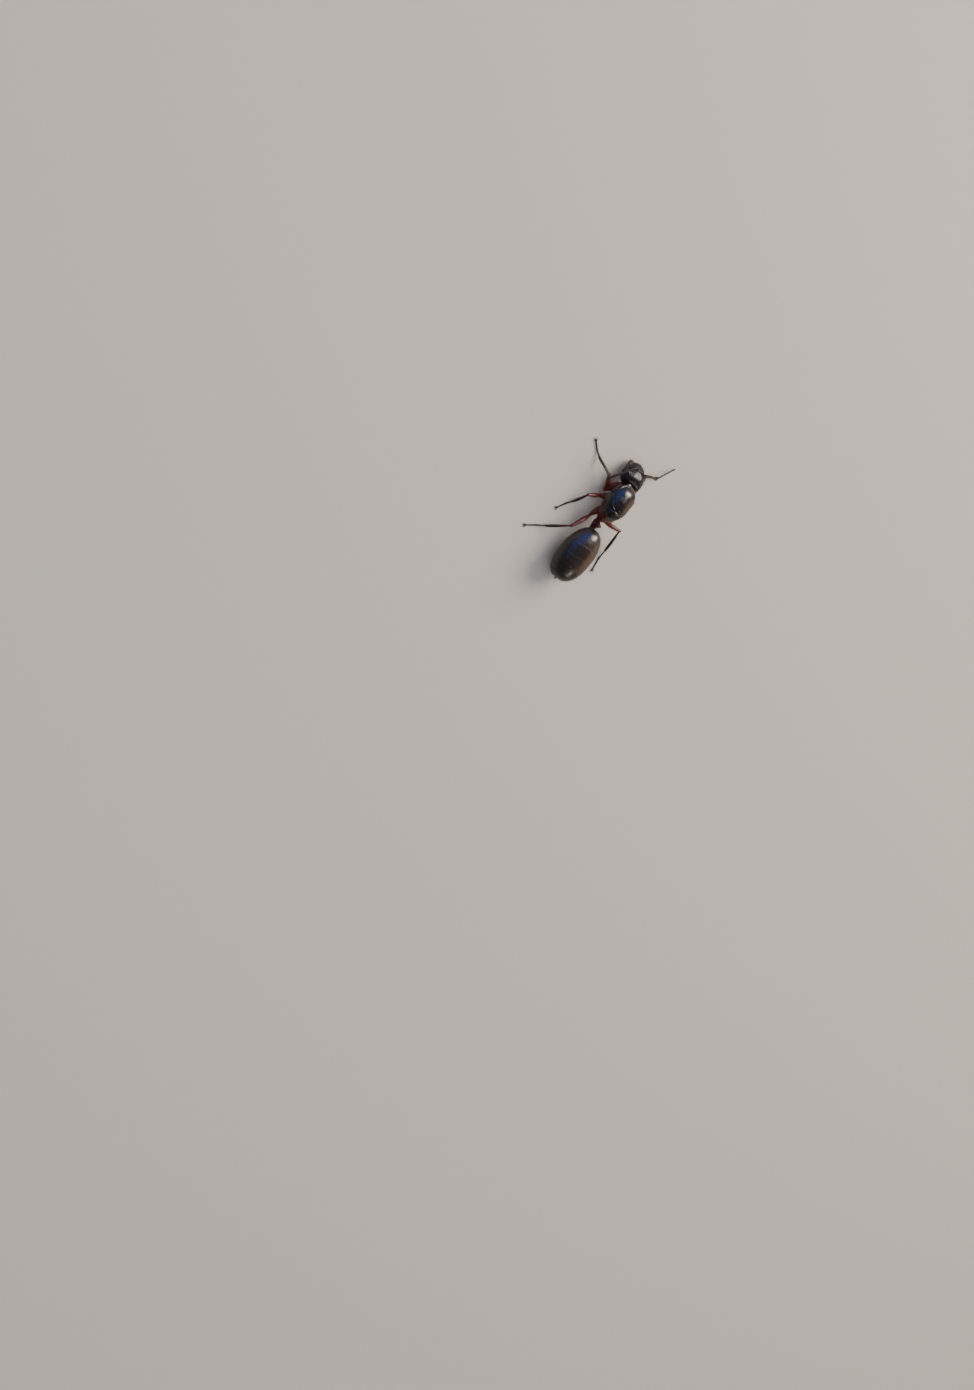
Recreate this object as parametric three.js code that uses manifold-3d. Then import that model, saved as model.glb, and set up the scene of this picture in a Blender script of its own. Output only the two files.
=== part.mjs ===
// A carpenter ant queen that has shed her wings, as a still, life-size model.
// Millimetres, +Z up. She heads towards -Y and her left side is on +X.
// The floor is z = 0, and the origin lies on it under the middle of the whole ant.
// Places are given as forward, left and up from the floor point under the middle of her thorax.
import * as THREE from "three";
import { mergeVertices } from "three/addons/utils/BufferGeometryUtils.js";
import Module from "manifold-3d";

const wasm = await Module();
wasm.setup();

// ---- Driving dimensions ----
const JOINT_GAP = 0.26; // between plates or limb pieces that meet face to face
const EYE_GAP = 0.18; // between an eye and its socket

const HEAD_CENTRE = { forward: 3.62, up: 2.15 };
const HEAD_PITCH = THREE.MathUtils.degToRad(30); // how far the face leans down
const HEAD_LENGTH = 3.1;
const HEAD_HALF_WIDTH = 1.55;
const HEAD_HALF_DEPTH = 1.12;
const OCCIPUT_HOLLOW = 0.2; // how far the back margin is drawn in at its middle

const THORAX_FRONT = 2.4;
const THORAX_BACK = -2.95;
const THORAX_HALF_WIDTH = 1.66;
const THORAX_TOP = 4.72;
const THORAX_BOTTOM = 1.42;

const GASTER_FRONT = -4.25;
const GASTER_LENGTH = 7.4;
const GASTER_HALF_WIDTH = 2.18;
const GASTER_HALF_HEIGHT = 1.86;
const GASTER_UP = 2.8; // its middle line at the front
const GASTER_DROOP = 0.6; // how much lower the middle line is at the tail
const GASTER_SEAMS = [0, 0.29, 0.52, 0.71, 0.86, 1]; // where each plate starts, front to back
const GASTER_LIP = 0.03; // how much wider a plate grows towards its back edge
const GASTER_BLUNTNESS = 2.65;

const LIMB_SIDES = 10;
const FOOT_SIDES = 7;
const CLAW_SIDES = 5;
const BODY_SIDES = 30;

// Half thicknesses of the limbs, from the root to the tip of each piece.
const COXA_FORE_RADII = [0.5, 0.52, 0.42, 0.33];
const COXA_RADII = [0.44, 0.46, 0.38, 0.31];
const FEMUR_RADII = [0.25, 0.28, 0.36, 0.36, 0.31, 0.26];
const TIBIA_RADII = [0.25, 0.26, 0.28, 0.28];
const TARSUS_RADIUS = 0.25;
const SCAPE_RADII = [0.25, 0.25, 0.25, 0.27];
const FUNICULUS_RADIUS = 0.26;
const FOOT_UP = 0.2; // height of a foot's middle line, so that its sole is a small flat

// Joints of each leg, as forward, left, up: hip, trochanter, knee, ankle and toe tip.
const LEGS = {
  fore_left: [[1.7, 0.7, 1.75], [0.5, 1.35, 1], [2.04, 2.58, 1.95], [3, 4.28, 0.42], [4.3, 5.75]],
  mid_left: [[-0.1, 0.7, 1.65], [-0.5, 1.4, 1.05], [-1.42, 3.35, 2.2], [-3.05, 3.54, 0.42], [-4.75, 4.6]],
  hind_left: [[-1.75, 0.55, 1.75], [-2.75, 0.85, 1.15], [-5.55, 2.55, 2], [-7.4, 4.52, 0.45], [-8.8, 6.6]],
  fore_right: [[1.7, -0.7, 1.75], [0.95, -1.45, 0.98], [2.75, -2.05, 1.45], [4.75, -2.5, 0.42], [5.45, -3.85]],
  mid_right: [[-0.1, -0.7, 1.65], [-0.5, -1.4, 1.05], [1.25, -2.75, 1.4], [-0.75, -3.05, 0.42], [-2.2, -2.6]],
  hind_right: [[-1.75, -0.55, 1.75], [-2.75, -0.75, 1.15], [-2.45, -3.3, 1.85], [-5.3, -4.1, 0.5], [-8, -4.5]],
};

// Antennae: where each rises from the face and its shaft's middle, in the head's own frame,
// then its elbow and two places along the whip, as forward, left, up.
const SOCKET = { along: 0.3, side: 0.5, up: 0.85 };
const ANTENNAE = {
  left: {
    rise: [0.22, 0.85, 1.42],
    waist: [-1, 1.95, 0.65],
    elbow: [1.69, 2.82, 2.9],
    whip: [[2.4, 4.05, 2.35], [3.3, 5.4, 1.3]],
  },
  right: {
    rise: [0.4, 0.9, 1.4],
    waist: [0.95, 1.8, 1.05],
    elbow: [5.2, -3.27, 1.5],
    whip: [[6.5, -4.05, 1.25], [7.75, -5.1, 0.5]],
  },
};
const WHIP_JOINTS = 11;

// ---- Materials ----
function cuticle(color, roughness) {
  return new THREE.MeshStandardMaterial({ color, roughness, metalness: 0 });
}
const headBlack = () => cuticle("#15110f", 0.25);
const plateBlack = () => cuticle("#120e0d", 0.2);
const thoraxRed = () => cuticle("#3b1410", 0.35);
const gasterBlack = () => cuticle("#16100e", 0.2);
const legRed = () => cuticle("#4a1a10", 0.35);
const legDark = () => cuticle("#1d100c", 0.4);
const eyeBlack = () => cuticle("#0b0a0b", 0.3);

// ---- Frames and curves ----
function place(forward, left, up) {
  return new THREE.Vector3(left, -forward, up);
}

// A frame on the ant's middle plane, leaning nose down by pitch.
function bodyFrame(centre, pitch) {
  const cos = Math.cos(pitch);
  const sin = Math.sin(pitch);
  return (along, left, up) =>
    place(centre.forward + along * cos + up * sin, left, centre.up - along * sin + up * cos);
}

// A smooth value through evenly spaced knots, for t from 0 to 1.
function through(knots, t) {
  const span = Math.min(Math.max(t, 0), 1) * (knots.length - 1);
  const i = Math.min(Math.floor(span), knots.length - 2);
  const u = span - i;
  const [a, b] = [knots[i], knots[i + 1]];
  const before = (b - (knots[i - 1] ?? a)) / 2;
  const after = ((knots[i + 2] ?? b) - a) / 2;
  const square = 3 * (b - a) - 2 * before - after;
  const cube = 2 * (a - b) + before + after;
  return a + before * u + square * u ** 2 + cube * u ** 3;
}

// 0 at both ends and 1 in the middle, squarer as power grows.
function blunt(t, power) {
  return Math.max(0, 1 - Math.abs(2 * t - 1) ** power) ** (1 / power);
}

// Steps from 0 to 1 that crowd towards both ends.
function crowded(steps) {
  return Array.from({ length: steps + 1 }, (_, i) => (1 - Math.cos((Math.PI * i) / steps)) / 2);
}

// ---- Solids ----
function toSolid(geometry) {
  const bare = new THREE.BufferGeometry();
  bare.setAttribute("position", geometry.getAttribute("position"));
  bare.setIndex(geometry.index);
  const merged = mergeVertices(bare, 1e-4);
  const triVerts = new Uint32Array(merged.index.array);
  const vertProperties = new Float32Array(merged.attributes.position.array);
  return new wasm.Manifold(new wasm.Mesh({ numProp: 3, vertProperties, triVerts }));
}

// A closed solid over rings of points. A ring of one point is an end; other ends get a flat cap.
// Rings may run either way: the faces are turned round if they come out facing in.
function loft(rings) {
  const points = [];
  const starts = rings.map((ring) => points.push(...ring) - ring.length);
  const faces = [];
  const capAt = (ring, start, back) => {
    if (ring.length === 1) return;
    const middle = ring.reduce((sum, p) => sum.add(p), new THREE.Vector3()).divideScalar(ring.length);
    const centre = points.push(middle) - 1;
    ring.forEach((_, j) => {
      const edge = [start + j, start + ((j + 1) % ring.length)];
      faces.push(back ? [centre, edge[1], edge[0]] : [centre, edge[0], edge[1]]);
    });
  };
  capAt(rings[0], starts[0], true);
  for (let i = 0; i + 1 < rings.length; i++) {
    const count = Math.max(rings[i].length, rings[i + 1].length);
    for (let j = 0; j < count; j++) {
      const k = (j + 1) % count;
      const [a, b] = [starts[i] + (j % rings[i].length), starts[i] + (k % rings[i].length)];
      const [c, d] = [starts[i + 1] + (j % rings[i + 1].length), starts[i + 1] + (k % rings[i + 1].length)];
      if (a !== b) faces.push([a, b, d]);
      if (c !== d) faces.push([a, d, c]);
    }
  }
  capAt(rings.at(-1), starts.at(-1), false);
  const geometry = new THREE.BufferGeometry().setFromPoints(points);
  geometry.setIndex(faces.flat());
  const solid = toSolid(geometry);
  if (solid.volume() > 0) return solid;
  geometry.setIndex(faces.map((face) => face.reverse()).flat());
  return toSolid(geometry);
}

// An egg-shaped lump: a sphere stretched to its three half sizes, turned and set in place.
function lump(centre, halfSizes, turn = new THREE.Quaternion(), detail = 16) {
  const ball = new THREE.SphereGeometry(1, detail, Math.round(detail * 0.7));
  const matrix = new THREE.Matrix4().compose(centre, turn, new THREE.Vector3(...halfSizes));
  return toSolid(ball.applyMatrix4(matrix));
}

function ball(centre, radius) {
  return lump(centre, [radius, radius, radius], undefined, 10);
}

// A box from one corner to the opposite one, in forward, left, up, leaning by pitch about the left axis.
function block(low, high, pitch = 0) {
  const size = [high[1] - low[1], high[0] - low[0], high[2] - low[2]];
  const box = new THREE.BoxGeometry(...size);
  box.rotateX(pitch);
  box.translate(...place((low[0] + high[0]) / 2, (low[1] + high[1]) / 2, (low[2] + high[2]) / 2));
  return toSolid(box);
}

// A limb along a curve, round-ended, with its half thickness given for t from 0 to 1.
function limb(spine, radiusAt, steps, sides = LIMB_SIDES) {
  const along = spine.getPoint(1).sub(spine.getPoint(0)).normalize();
  const across = new THREE.Vector3(0, 0, 1).cross(along).normalize();
  const ringAt = (centre, tangent, radius) => {
    const up = tangent.clone().cross(across).normalize();
    const side = up.clone().cross(tangent).normalize();
    return Array.from({ length: sides }, (_, j) => {
      const angle = (2 * Math.PI * j) / sides;
      return centre
        .clone()
        .addScaledVector(side, radius * Math.cos(angle))
        .addScaledVector(up, radius * Math.sin(angle));
    });
  };
  const end = (t, direction) => {
    const tangent = spine.getTangent(t);
    const radius = radiusAt(t);
    const shift = (reach) => spine.getPoint(t).addScaledVector(tangent, direction * reach * radius);
    const rings = [[shift(1)], ringAt(shift(0.72), tangent, radius * 0.69)];
    return direction < 0 ? rings : rings.reverse();
  };
  const rings = end(0, -1);
  for (let i = 0; i <= steps; i++) {
    rings.push(ringAt(spine.getPoint(i / steps), spine.getTangent(i / steps), radiusAt(i / steps)));
  }
  rings.push(...end(1, 1));
  return loft(rings);
}

function trim(solid, ...cutters) {
  return cutters.reduce((left, cutter) => left.subtract(cutter), solid);
}

function fuse(...solids) {
  return solids.reduce((sum, solid) => sum.add(solid));
}

// ---- Assembly ----
const ant = new THREE.Group();

// Adds a node from the largest closed surface of a solid.
function addNode(name, solid, material) {
  const largest = solid.decompose().sort((a, b) => b.volume() - a.volume())[0];
  const { vertProperties, triVerts } = largest.getMesh();
  const geometry = new THREE.BufferGeometry();
  geometry.setAttribute("position", new THREE.BufferAttribute(vertProperties, 3));
  geometry.setIndex(new THREE.BufferAttribute(triVerts, 1));
  geometry.computeVertexNormals();
  const mesh = new THREE.Mesh(geometry, material);
  mesh.name = name;
  ant.add(mesh);
}

// ---- Head ----
const inHead = bodyFrame(HEAD_CENTRE, HEAD_PITCH);

// The half sizes of the head's cross-section, for t from 0 at the back to 1 at the front.
function headSection(t) {
  const fullness = blunt(t, 3);
  const breadth = blunt(t, t < 0.5 ? 5 : 3); // squarer at the back corners
  const halfWidth = HEAD_HALF_WIDTH * through([0.97, 1, 0.98, 0.87, 0.68], t) * breadth;
  const top = HEAD_HALF_DEPTH * through([0.82, 1, 1, 0.86, 0.55], t) * fullness;
  const bottom = HEAD_HALF_DEPTH * through([0.85, 0.98, 0.9, 0.8, 0.7], t) * fullness;
  return { breadth, halfWidth, top, bottom };
}

// The head capsule, back to front, or the same shape grown all round.
function headCapsule(grow = 0) {
  const rings = crowded(18).map((t) => {
    const { breadth, halfWidth, top, bottom } = headSection(t);
    const along = (t - 0.5) * (HEAD_LENGTH + 2 * grow);
    if (t === 0 || t === 1) return [inHead(along + (t === 0 ? OCCIPUT_HOLLOW : 0), 0, 0)];
    return Array.from({ length: BODY_SIDES }, (_, j) => {
      const angle = (2 * Math.PI * j) / BODY_SIDES;
      const side = Math.cos(angle);
      const up = Math.sin(angle);
      const hollow = OCCIPUT_HOLLOW * (1 - t) ** 3 * (1 - (breadth * side) ** 2);
      return inHead(along + hollow, (halfWidth + grow) * side, ((up > 0 ? top : bottom) + grow) * up);
    });
  });
  return loft(rings);
}

// A lump given in the head's frame.
function onHead(along, side, up, halfSizes, turnAcross = 0, detail = 12) {
  const turn = new THREE.Quaternion().setFromEuler(new THREE.Euler(HEAD_PITCH, 0, 0));
  turn.multiply(new THREE.Quaternion().setFromEuler(new THREE.Euler(0, 0, turnAcross)));
  return lump(inHead(along, side, up), [halfSizes[1], halfSizes[0], halfSizes[2]], turn, detail);
}

const EYE = { along: -0.3, side: 1.21, up: 0.56, halfSizes: [0.45, 0.26, 0.36] };

function eye(hand, grow = 0) {
  const sizes = EYE.halfSizes.map((size) => size + grow);
  return onHead(EYE.along, hand * EYE.side, EYE.up, sizes, hand * 0.1, 14);
}

// Three small simple eyes on the crown, as along, side and up on its curve.
const OCELLI = [[-0.95, 0, 0.9], [-1.15, 0.24, 0.74], [-1.15, -0.24, 0.74]];

// The clypeus stands proud over the mouth, with a ridge beside each antenna socket.
function faceRelief() {
  const clypeus = onHead(0.95, 0, 0.42, [0.62, 0.72, 0.42]);
  const ridges = [-1, 1].map((hand) => onHead(0.35, hand * 0.42, 0.93, [0.42, 0.1, 0.18], hand * 0.2));
  const beads = OCELLI.map(([along, side, up]) => onHead(along, side, up, [0.11, 0.11, 0.11], 0, 8));
  return fuse(clypeus, ...ridges, ...beads);
}

addNode("head", trim(fuse(headCapsule(), faceRelief()), eye(1, EYE_GAP), eye(-1, EYE_GAP)), headBlack());

// A mandible: a strong blade that bends down from its root by bend, in radians, with teeth along
// its inner edge.
const MANDIBLE = { root: 1.1, up: -0.3, length: 1.45, bend: 0.8, outer: 1.08, thickness: 0.46, teeth: 5 };
const TOOTH_SPACING = 0.13; // as a share of the blade's length
const TOOTH_DEPTH = 0.18;

function mandible(hand) {
  const { root, up, length, bend, outer, thickness, teeth } = MANDIBLE;
  const inner = JOINT_GAP / 2;
  const radius = length / bend;
  const onBlade = (share, side, height) => {
    const angle = bend * share;
    const reach = radius + height;
    return inHead(root + reach * Math.sin(angle), hand * side, up - radius + reach * Math.cos(angle));
  };
  const section = (share, edge) => {
    const back = inner + 0.12 + (outer - inner - 0.12) * Math.sqrt(1 - share ** 2.4);
    const half = (thickness / 2) * (1 - 0.55 * share ** 2);
    const profile = [[0, 0], [0.3, 0.75], [0.75, 1], [1, 0], [0.75, -1], [0.3, -0.75]];
    return profile.map(([across, rise]) => onBlade(share, edge + (back - edge) * across, half * rise));
  };
  const rings = [section(0, inner + 0.4), section(0.2, inner + 0.2), section(0.36, inner + 0.12)];
  for (let i = teeth - 1; i > 0; i--) {
    const tip = 1 - TOOTH_SPACING * i;
    rings.push(section(tip, inner), section(tip + TOOTH_SPACING / 2, inner + TOOTH_DEPTH));
  }
  const blade = loft([...rings, [onBlade(1, inner, 0)]]);
  return trim(blade, headCapsule(JOINT_GAP), onHead(0.95, 0, 0.42, [0.85, 0.95, 0.65]));
}

for (const [side, hand] of [["left", 1], ["right", -1]]) {
  addNode(`eye_${side}`, eye(hand), eyeBlack());
  addNode(`mandible_${side}`, mandible(hand), legDark());
}

// ---- Antennae ----
function antenna(side, hand) {
  const { rise, waist, elbow, whip: reaches } = ANTENNAE[side];
  const onSide = ([along, left, up]) => inHead(along, hand * left, up);
  const crook = place(...elbow);
  const root = onSide([SOCKET.along, SOCKET.side, SOCKET.up]);
  const stalk = new THREE.CatmullRomCurve3([root, onSide(rise), onSide(waist), crook]);
  const clearOfHead = fuse(headCapsule(JOINT_GAP), onHead(0.35, hand * 0.42, 0.93, [0.6, 0.3, 0.4]));
  const scape = trim(limb(stalk, (t) => through(SCAPE_RADII, t), 10), clearOfHead);
  addNode(`scape_${side}`, scape, legDark());

  const path = new THREE.CatmullRomCurve3([crook, ...reaches.map((spot) => place(...spot))]);
  const beads = (t) => FUNICULUS_RADIUS * (1 - 0.2 * Math.abs(Math.cos(Math.PI * WHIP_JOINTS * t)) ** 3);
  const whip = limb(path, beads, WHIP_JOINTS * 2);
  const elbowBall = ball(crook, SCAPE_RADII.at(-1) + JOINT_GAP);
  addNode(`funiculus_${side}`, trim(whip, elbowBall), legDark());
}
antenna("left", 1);
antenna("right", -1);

// ---- Thorax ----
// Heights and widths from back to front, as shares of the thorax's own.
const THORAX_TOPS = [2.6, 3.85, 4.5, THORAX_TOP - 0.02, THORAX_TOP, 4.62, 4.45, 3.9];
const THORAX_FLOORS = [1.75, 1.5, THORAX_BOTTOM, 1.42, 1.5, 1.72, 2.15, 2.9];
const THORAX_WIDTHS = [0.62, 0.73, 0.9, 0.99, 1, 0.98, 0.92, 0.8];

function thorax(grow = 0) {
  const rings = crowded(22).map((t) => {
    const fullness = blunt(t, 3.4);
    const top = through(THORAX_TOPS, t);
    const floor = through(THORAX_FLOORS, t);
    const middle = (top + floor) / 2;
    const halfHeight = ((top - floor) / 2) * fullness;
    const halfWidth = THORAX_HALF_WIDTH * through(THORAX_WIDTHS, t) * fullness;
    const forward = THORAX_BACK - grow + t * (THORAX_FRONT - THORAX_BACK + 2 * grow);
    if (t === 0 || t === 1) return [place(forward, 0, middle)];
    return Array.from({ length: BODY_SIDES }, (_, j) => {
      const angle = (2 * Math.PI * j) / BODY_SIDES;
      const side = Math.cos(angle);
      const up = Math.sin(angle);
      const keel = 1 - 0.22 * Math.max(0, -up) ** 2;
      return place(forward, (halfWidth * keel + grow) * side, middle + (halfHeight + grow) * up);
    });
  });
  return loft(rings);
}

// The big oval wing plate on top, and the smaller shield behind it.
const PLATE_RISE = 0.06; // how far the two plates stand above the thorax round them
const SCUTUM = { centre: [0.76, 0, 4.3], halfSizes: [1.36, 1.8, 1.05], detail: 22 };
const SCUTELLUM = { centre: [-1.72, 0, 4.3], halfSizes: [0.84, 0.58, 0.85], detail: 18 };

function plateArea({ centre, halfSizes, detail }, grow = 0) {
  return lump(place(...centre), halfSizes.map((size) => size + grow), undefined, detail);
}

// Stubs of the shed wings, two on each side, as forward, left and up.
const WING_STUBS = [[0.75, 1.58, 3.3], [-0.75, 1.53, 3.25]];

function wingStubs() {
  const right = WING_STUBS.map(([forward, left, up]) => [forward, -left, up]);
  const spots = [...WING_STUBS, ...right];
  return fuse(...spots.map((spot) => lump(place(...spot), [0.16, 0.24, 0.13], undefined, 8)));
}

// The two plates under the collar that carry the fore hips.
function neckPlates(grow = 0) {
  const sizes = [0.48, 0.75, 0.62].map((size) => size + grow);
  return fuse(...[-1, 1].map((hand) => lump(place(1.75, hand * 0.42, 2.15), sizes, undefined, 9)));
}

function thoraxPlates() {
  const whole = thorax();
  const raised = thorax(PLATE_RISE);
  const clearOfHead = headCapsule(JOINT_GAP);
  const collarEdge = 1.35;
  const waistEdge = -1.65;
  const lean = 0.25;
  const collar = (shift) => block([collarEdge - shift, -4, -2], [collarEdge + 8, 4, 8], -lean);
  const waist = (shift) => block([waistEdge - 8, -4, -2], [waistEdge + shift, 4, 8], lean);
  const scutumRoom = plateArea(SCUTUM, JOINT_GAP);
  const shieldRoom = plateArea(SCUTELLUM, JOINT_GAP);
  addNode("mesoscutum", trim(raised.intersect(plateArea(SCUTUM)), clearOfHead), plateBlack());
  addNode("scutellum", trim(raised.intersect(plateArea(SCUTELLUM)), scutumRoom), plateBlack());
  const front = fuse(trim(whole.intersect(collar(0)), scutumRoom), neckPlates());
  addNode("pronotum", trim(front, clearOfHead), thoraxRed());
  addNode("propodeum", trim(whole.intersect(waist(0)), shieldRoom, scutumRoom), thoraxRed());
  const side = trim(fuse(whole, wingStubs()), collar(JOINT_GAP), waist(JOINT_GAP), neckPlates(JOINT_GAP));
  addNode("mesothorax", trim(side, scutumRoom, shieldRoom), thoraxRed());
}
thoraxPlates();

// ---- Gaster ----
function gasterRing(t, grow = 0) {
  const plate = GASTER_SEAMS.findLastIndex((seam, i) => t >= seam && i < GASTER_SEAMS.length - 1);
  const within = (t - GASTER_SEAMS[plate]) / (GASTER_SEAMS[plate + 1] - GASTER_SEAMS[plate]);
  const lip = 1 + GASTER_LIP * (within - 0.5) * (plate < 4 ? 1 : 0);
  const fullness = blunt(t, GASTER_BLUNTNESS) * lip;
  const forward = GASTER_FRONT + grow - t * (GASTER_LENGTH + 2 * grow);
  const middle = GASTER_UP - GASTER_DROOP * t - 0.15 * (1 - fullness);
  if (t === 0 || t === 1) return [place(forward, 0, middle)];
  return Array.from({ length: BODY_SIDES }, (_, j) => {
    const angle = (2 * Math.PI * j) / BODY_SIDES;
    const side = Math.cos(angle);
    const up = Math.sin(angle);
    const halfWidth = GASTER_HALF_WIDTH * through([0.8, 1, 1.02, 0.97], t) * fullness + grow;
    const halfHeight = GASTER_HALF_HEIGHT * (up > 0 ? 1 : 0.94) * fullness + grow;
    return place(forward, halfWidth * side, middle + halfHeight * up);
  });
}

// The small round nozzle at the very end, from which the ant sprays acid.
function tailPore() {
  const end = place(GASTER_FRONT - GASTER_LENGTH, 0, GASTER_UP - GASTER_DROOP - 0.3);
  const inside = end.clone().add(place(0.5, 0, 0.1));
  return limb(new THREE.LineCurve3(inside, end), (t) => 0.34 - 0.14 * t, 2, 8);
}

function gasterPlates() {
  const steps = crowded(30);
  for (let i = 0; i + 1 < GASTER_SEAMS.length; i++) {
    const from = GASTER_SEAMS[i];
    const to = GASTER_SEAMS[i + 1] - (i < 4 ? JOINT_GAP / GASTER_LENGTH : 0);
    const inside = steps.filter((t) => t > from + 0.012 && t < to - 0.012);
    const plate = loft([from, ...inside, to].map((t) => gasterRing(t)));
    addNode(`gaster_${i + 1}`, i < 4 ? plate : fuse(plate, tailPore()), gasterBlack());
  }
}
gasterPlates();

// ---- Petiole ----
// The waist: a short stalk with an upright scale on it.
const PETIOLE = { forward: -3.58, halfWidth: 0.66, halfThickness: 0.32, top: 3 };
const STALK = { up: 1.85, radius: 0.36, from: -2.6, to: -4.6 };

function petiole() {
  const spine = new THREE.LineCurve3(place(STALK.from, 0, STALK.up), place(STALK.to, 0, STALK.up - 0.05));
  const sizes = [PETIOLE.halfWidth, PETIOLE.halfThickness, PETIOLE.top - STALK.up];
  const scale = lump(place(PETIOLE.forward, 0, STALK.up), sizes);
  const belly = block([STALK.to - 1, -1, 0], [STALK.from + 1, 1, STALK.up - STALK.radius]);
  const body = fuse(limb(spine, () => STALK.radius, 6), scale);
  const gasterFront = loft(crowded(14).map((t) => gasterRing(t, JOINT_GAP)));
  return trim(body, belly, thorax(JOINT_GAP), gasterFront);
}
addNode("petiole", petiole(), thoraxRed());

// ---- Legs ----
const underFloor = block([-30, -30, -4], [30, 30, 0]);
const clearOfCoxae = fuse(thorax(JOINT_GAP), headCapsule(JOINT_GAP), neckPlates(JOINT_GAP));

function straight(from, to, bow = 0) {
  const middle = from.clone().add(to).multiplyScalar(0.5);
  middle.z += bow;
  return new THREE.QuadraticBezierCurve3(from, middle, to);
}

// Five foot joints, the first nearly half of the foot, each a little narrower at its root.
const TARSUS_JOINTS = [0, 0.42, 0.6, 0.74, 0.86, 1];

function tarsusRadius(t) {
  const nearest = Math.min(...TARSUS_JOINTS.slice(1, -1).map((joint) => Math.abs(t - joint)));
  const waist = 0.18 * Math.max(0, 1 - nearest / 0.06);
  return TARSUS_RADIUS * (1 - waist) * (1 - 0.12 * t);
}

function claws(toe, heading) {
  const across = new THREE.Vector3(0, 0, 1).cross(heading).normalize();
  const pair = [-1, 1].map((hand) => {
    const root = toe.clone().addScaledVector(heading, -0.1);
    const knuckle = toe.clone().addScaledVector(heading, 0.25).addScaledVector(across, hand * 0.22);
    const point = toe.clone().addScaledVector(heading, 0.48).addScaledVector(across, hand * 0.24);
    knuckle.z = FOOT_UP + 0.1;
    point.z = FOOT_UP - 0.1;
    const spine = new THREE.QuadraticBezierCurve3(root, knuckle, point);
    return limb(spine, (t) => 0.15 * (1 - 0.62 * t), 3, CLAW_SIDES);
  });
  return fuse(...pair);
}

function leg(name, joints) {
  const [hip, trochanter, knee, ankle] = joints.slice(0, 4).map((spot) => place(...spot));
  const toe = place(...joints[4], FOOT_UP);
  const coxaRadii = name.startsWith("fore") ? COXA_FORE_RADII : COXA_RADII;

  const coxa = limb(straight(hip, trochanter), (t) => through(coxaRadii, t), 6);
  addNode(`coxa_${name}`, trim(coxa, clearOfCoxae), legRed());

  const femur = limb(straight(trochanter, knee, 0.3), (t) => through(FEMUR_RADII, t), 8);
  const hipBall = ball(trochanter, coxaRadii.at(-1) + JOINT_GAP);
  addNode(`femur_${name}`, trim(femur, hipBall), legRed());

  const tibia = limb(straight(knee, ankle, 0.12), (t) => through(TIBIA_RADII, t), 8);
  addNode(`tibia_${name}`, trim(tibia, ball(knee, FEMUR_RADII.at(-1) + JOINT_GAP)), legDark());

  const landing = ankle.clone().lerp(toe, 0.45).setZ(FOOT_UP + 0.03);
  const mid = ankle.clone().lerp(toe, 0.72).setZ(FOOT_UP);
  const sole = new THREE.CatmullRomCurve3([ankle, landing, mid, toe]);
  const heading = toe.clone().sub(ankle).setZ(0).normalize();
  const foot = fuse(limb(sole, tarsusRadius, 13, FOOT_SIDES), claws(toe, heading));
  const ankleBall = ball(ankle, TIBIA_RADII.at(-1) + JOINT_GAP);
  addNode(`tarsus_${name}`, trim(foot, ankleBall, underFloor), legDark());
}

for (const [name, joints] of Object.entries(LEGS)) leg(name, joints);

// The origin goes to the floor under the middle of the ant.
const reach = new THREE.Box3().setFromObject(ant);
const middle = reach.getCenter(new THREE.Vector3());
ant.position.set(-middle.x, -middle.y, 0);

export default ant;
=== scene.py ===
"""A carpenter ant queen that has shed her wings: the looks of a still, life-size model.

Shapes are worked out in millimetres, as forward, left and up of the floor point under the
middle of her thorax, and become metres in the frame when their meshes are made. A shape is a
function of t, which runs along it from 0 to 1, and a, the angle round it from her left side up.
"""

import math

import bmesh
import bpy
import numpy as np
from mathutils import Matrix, Quaternion, Vector
from mathutils.kdtree import KDTree


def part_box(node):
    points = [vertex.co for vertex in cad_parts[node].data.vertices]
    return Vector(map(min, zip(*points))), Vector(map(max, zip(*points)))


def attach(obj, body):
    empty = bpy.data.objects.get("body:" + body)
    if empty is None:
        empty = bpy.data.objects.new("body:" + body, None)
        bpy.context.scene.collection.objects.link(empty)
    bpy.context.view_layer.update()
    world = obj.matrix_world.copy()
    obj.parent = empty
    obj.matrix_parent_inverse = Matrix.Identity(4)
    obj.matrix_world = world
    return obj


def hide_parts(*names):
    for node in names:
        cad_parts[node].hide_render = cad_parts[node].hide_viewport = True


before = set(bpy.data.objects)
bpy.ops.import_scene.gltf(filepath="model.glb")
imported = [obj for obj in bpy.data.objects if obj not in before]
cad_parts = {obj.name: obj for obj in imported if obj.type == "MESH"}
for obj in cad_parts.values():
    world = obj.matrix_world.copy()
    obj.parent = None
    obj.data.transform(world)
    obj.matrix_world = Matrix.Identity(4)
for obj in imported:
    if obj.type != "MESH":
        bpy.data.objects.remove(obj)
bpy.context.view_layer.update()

# ---- Driving sizes, in millimetres ----
MM = 0.001
FULL_TURN = 2 * math.pi
SIDES = {"left": 1, "right": -1}
SEED = 20

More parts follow.
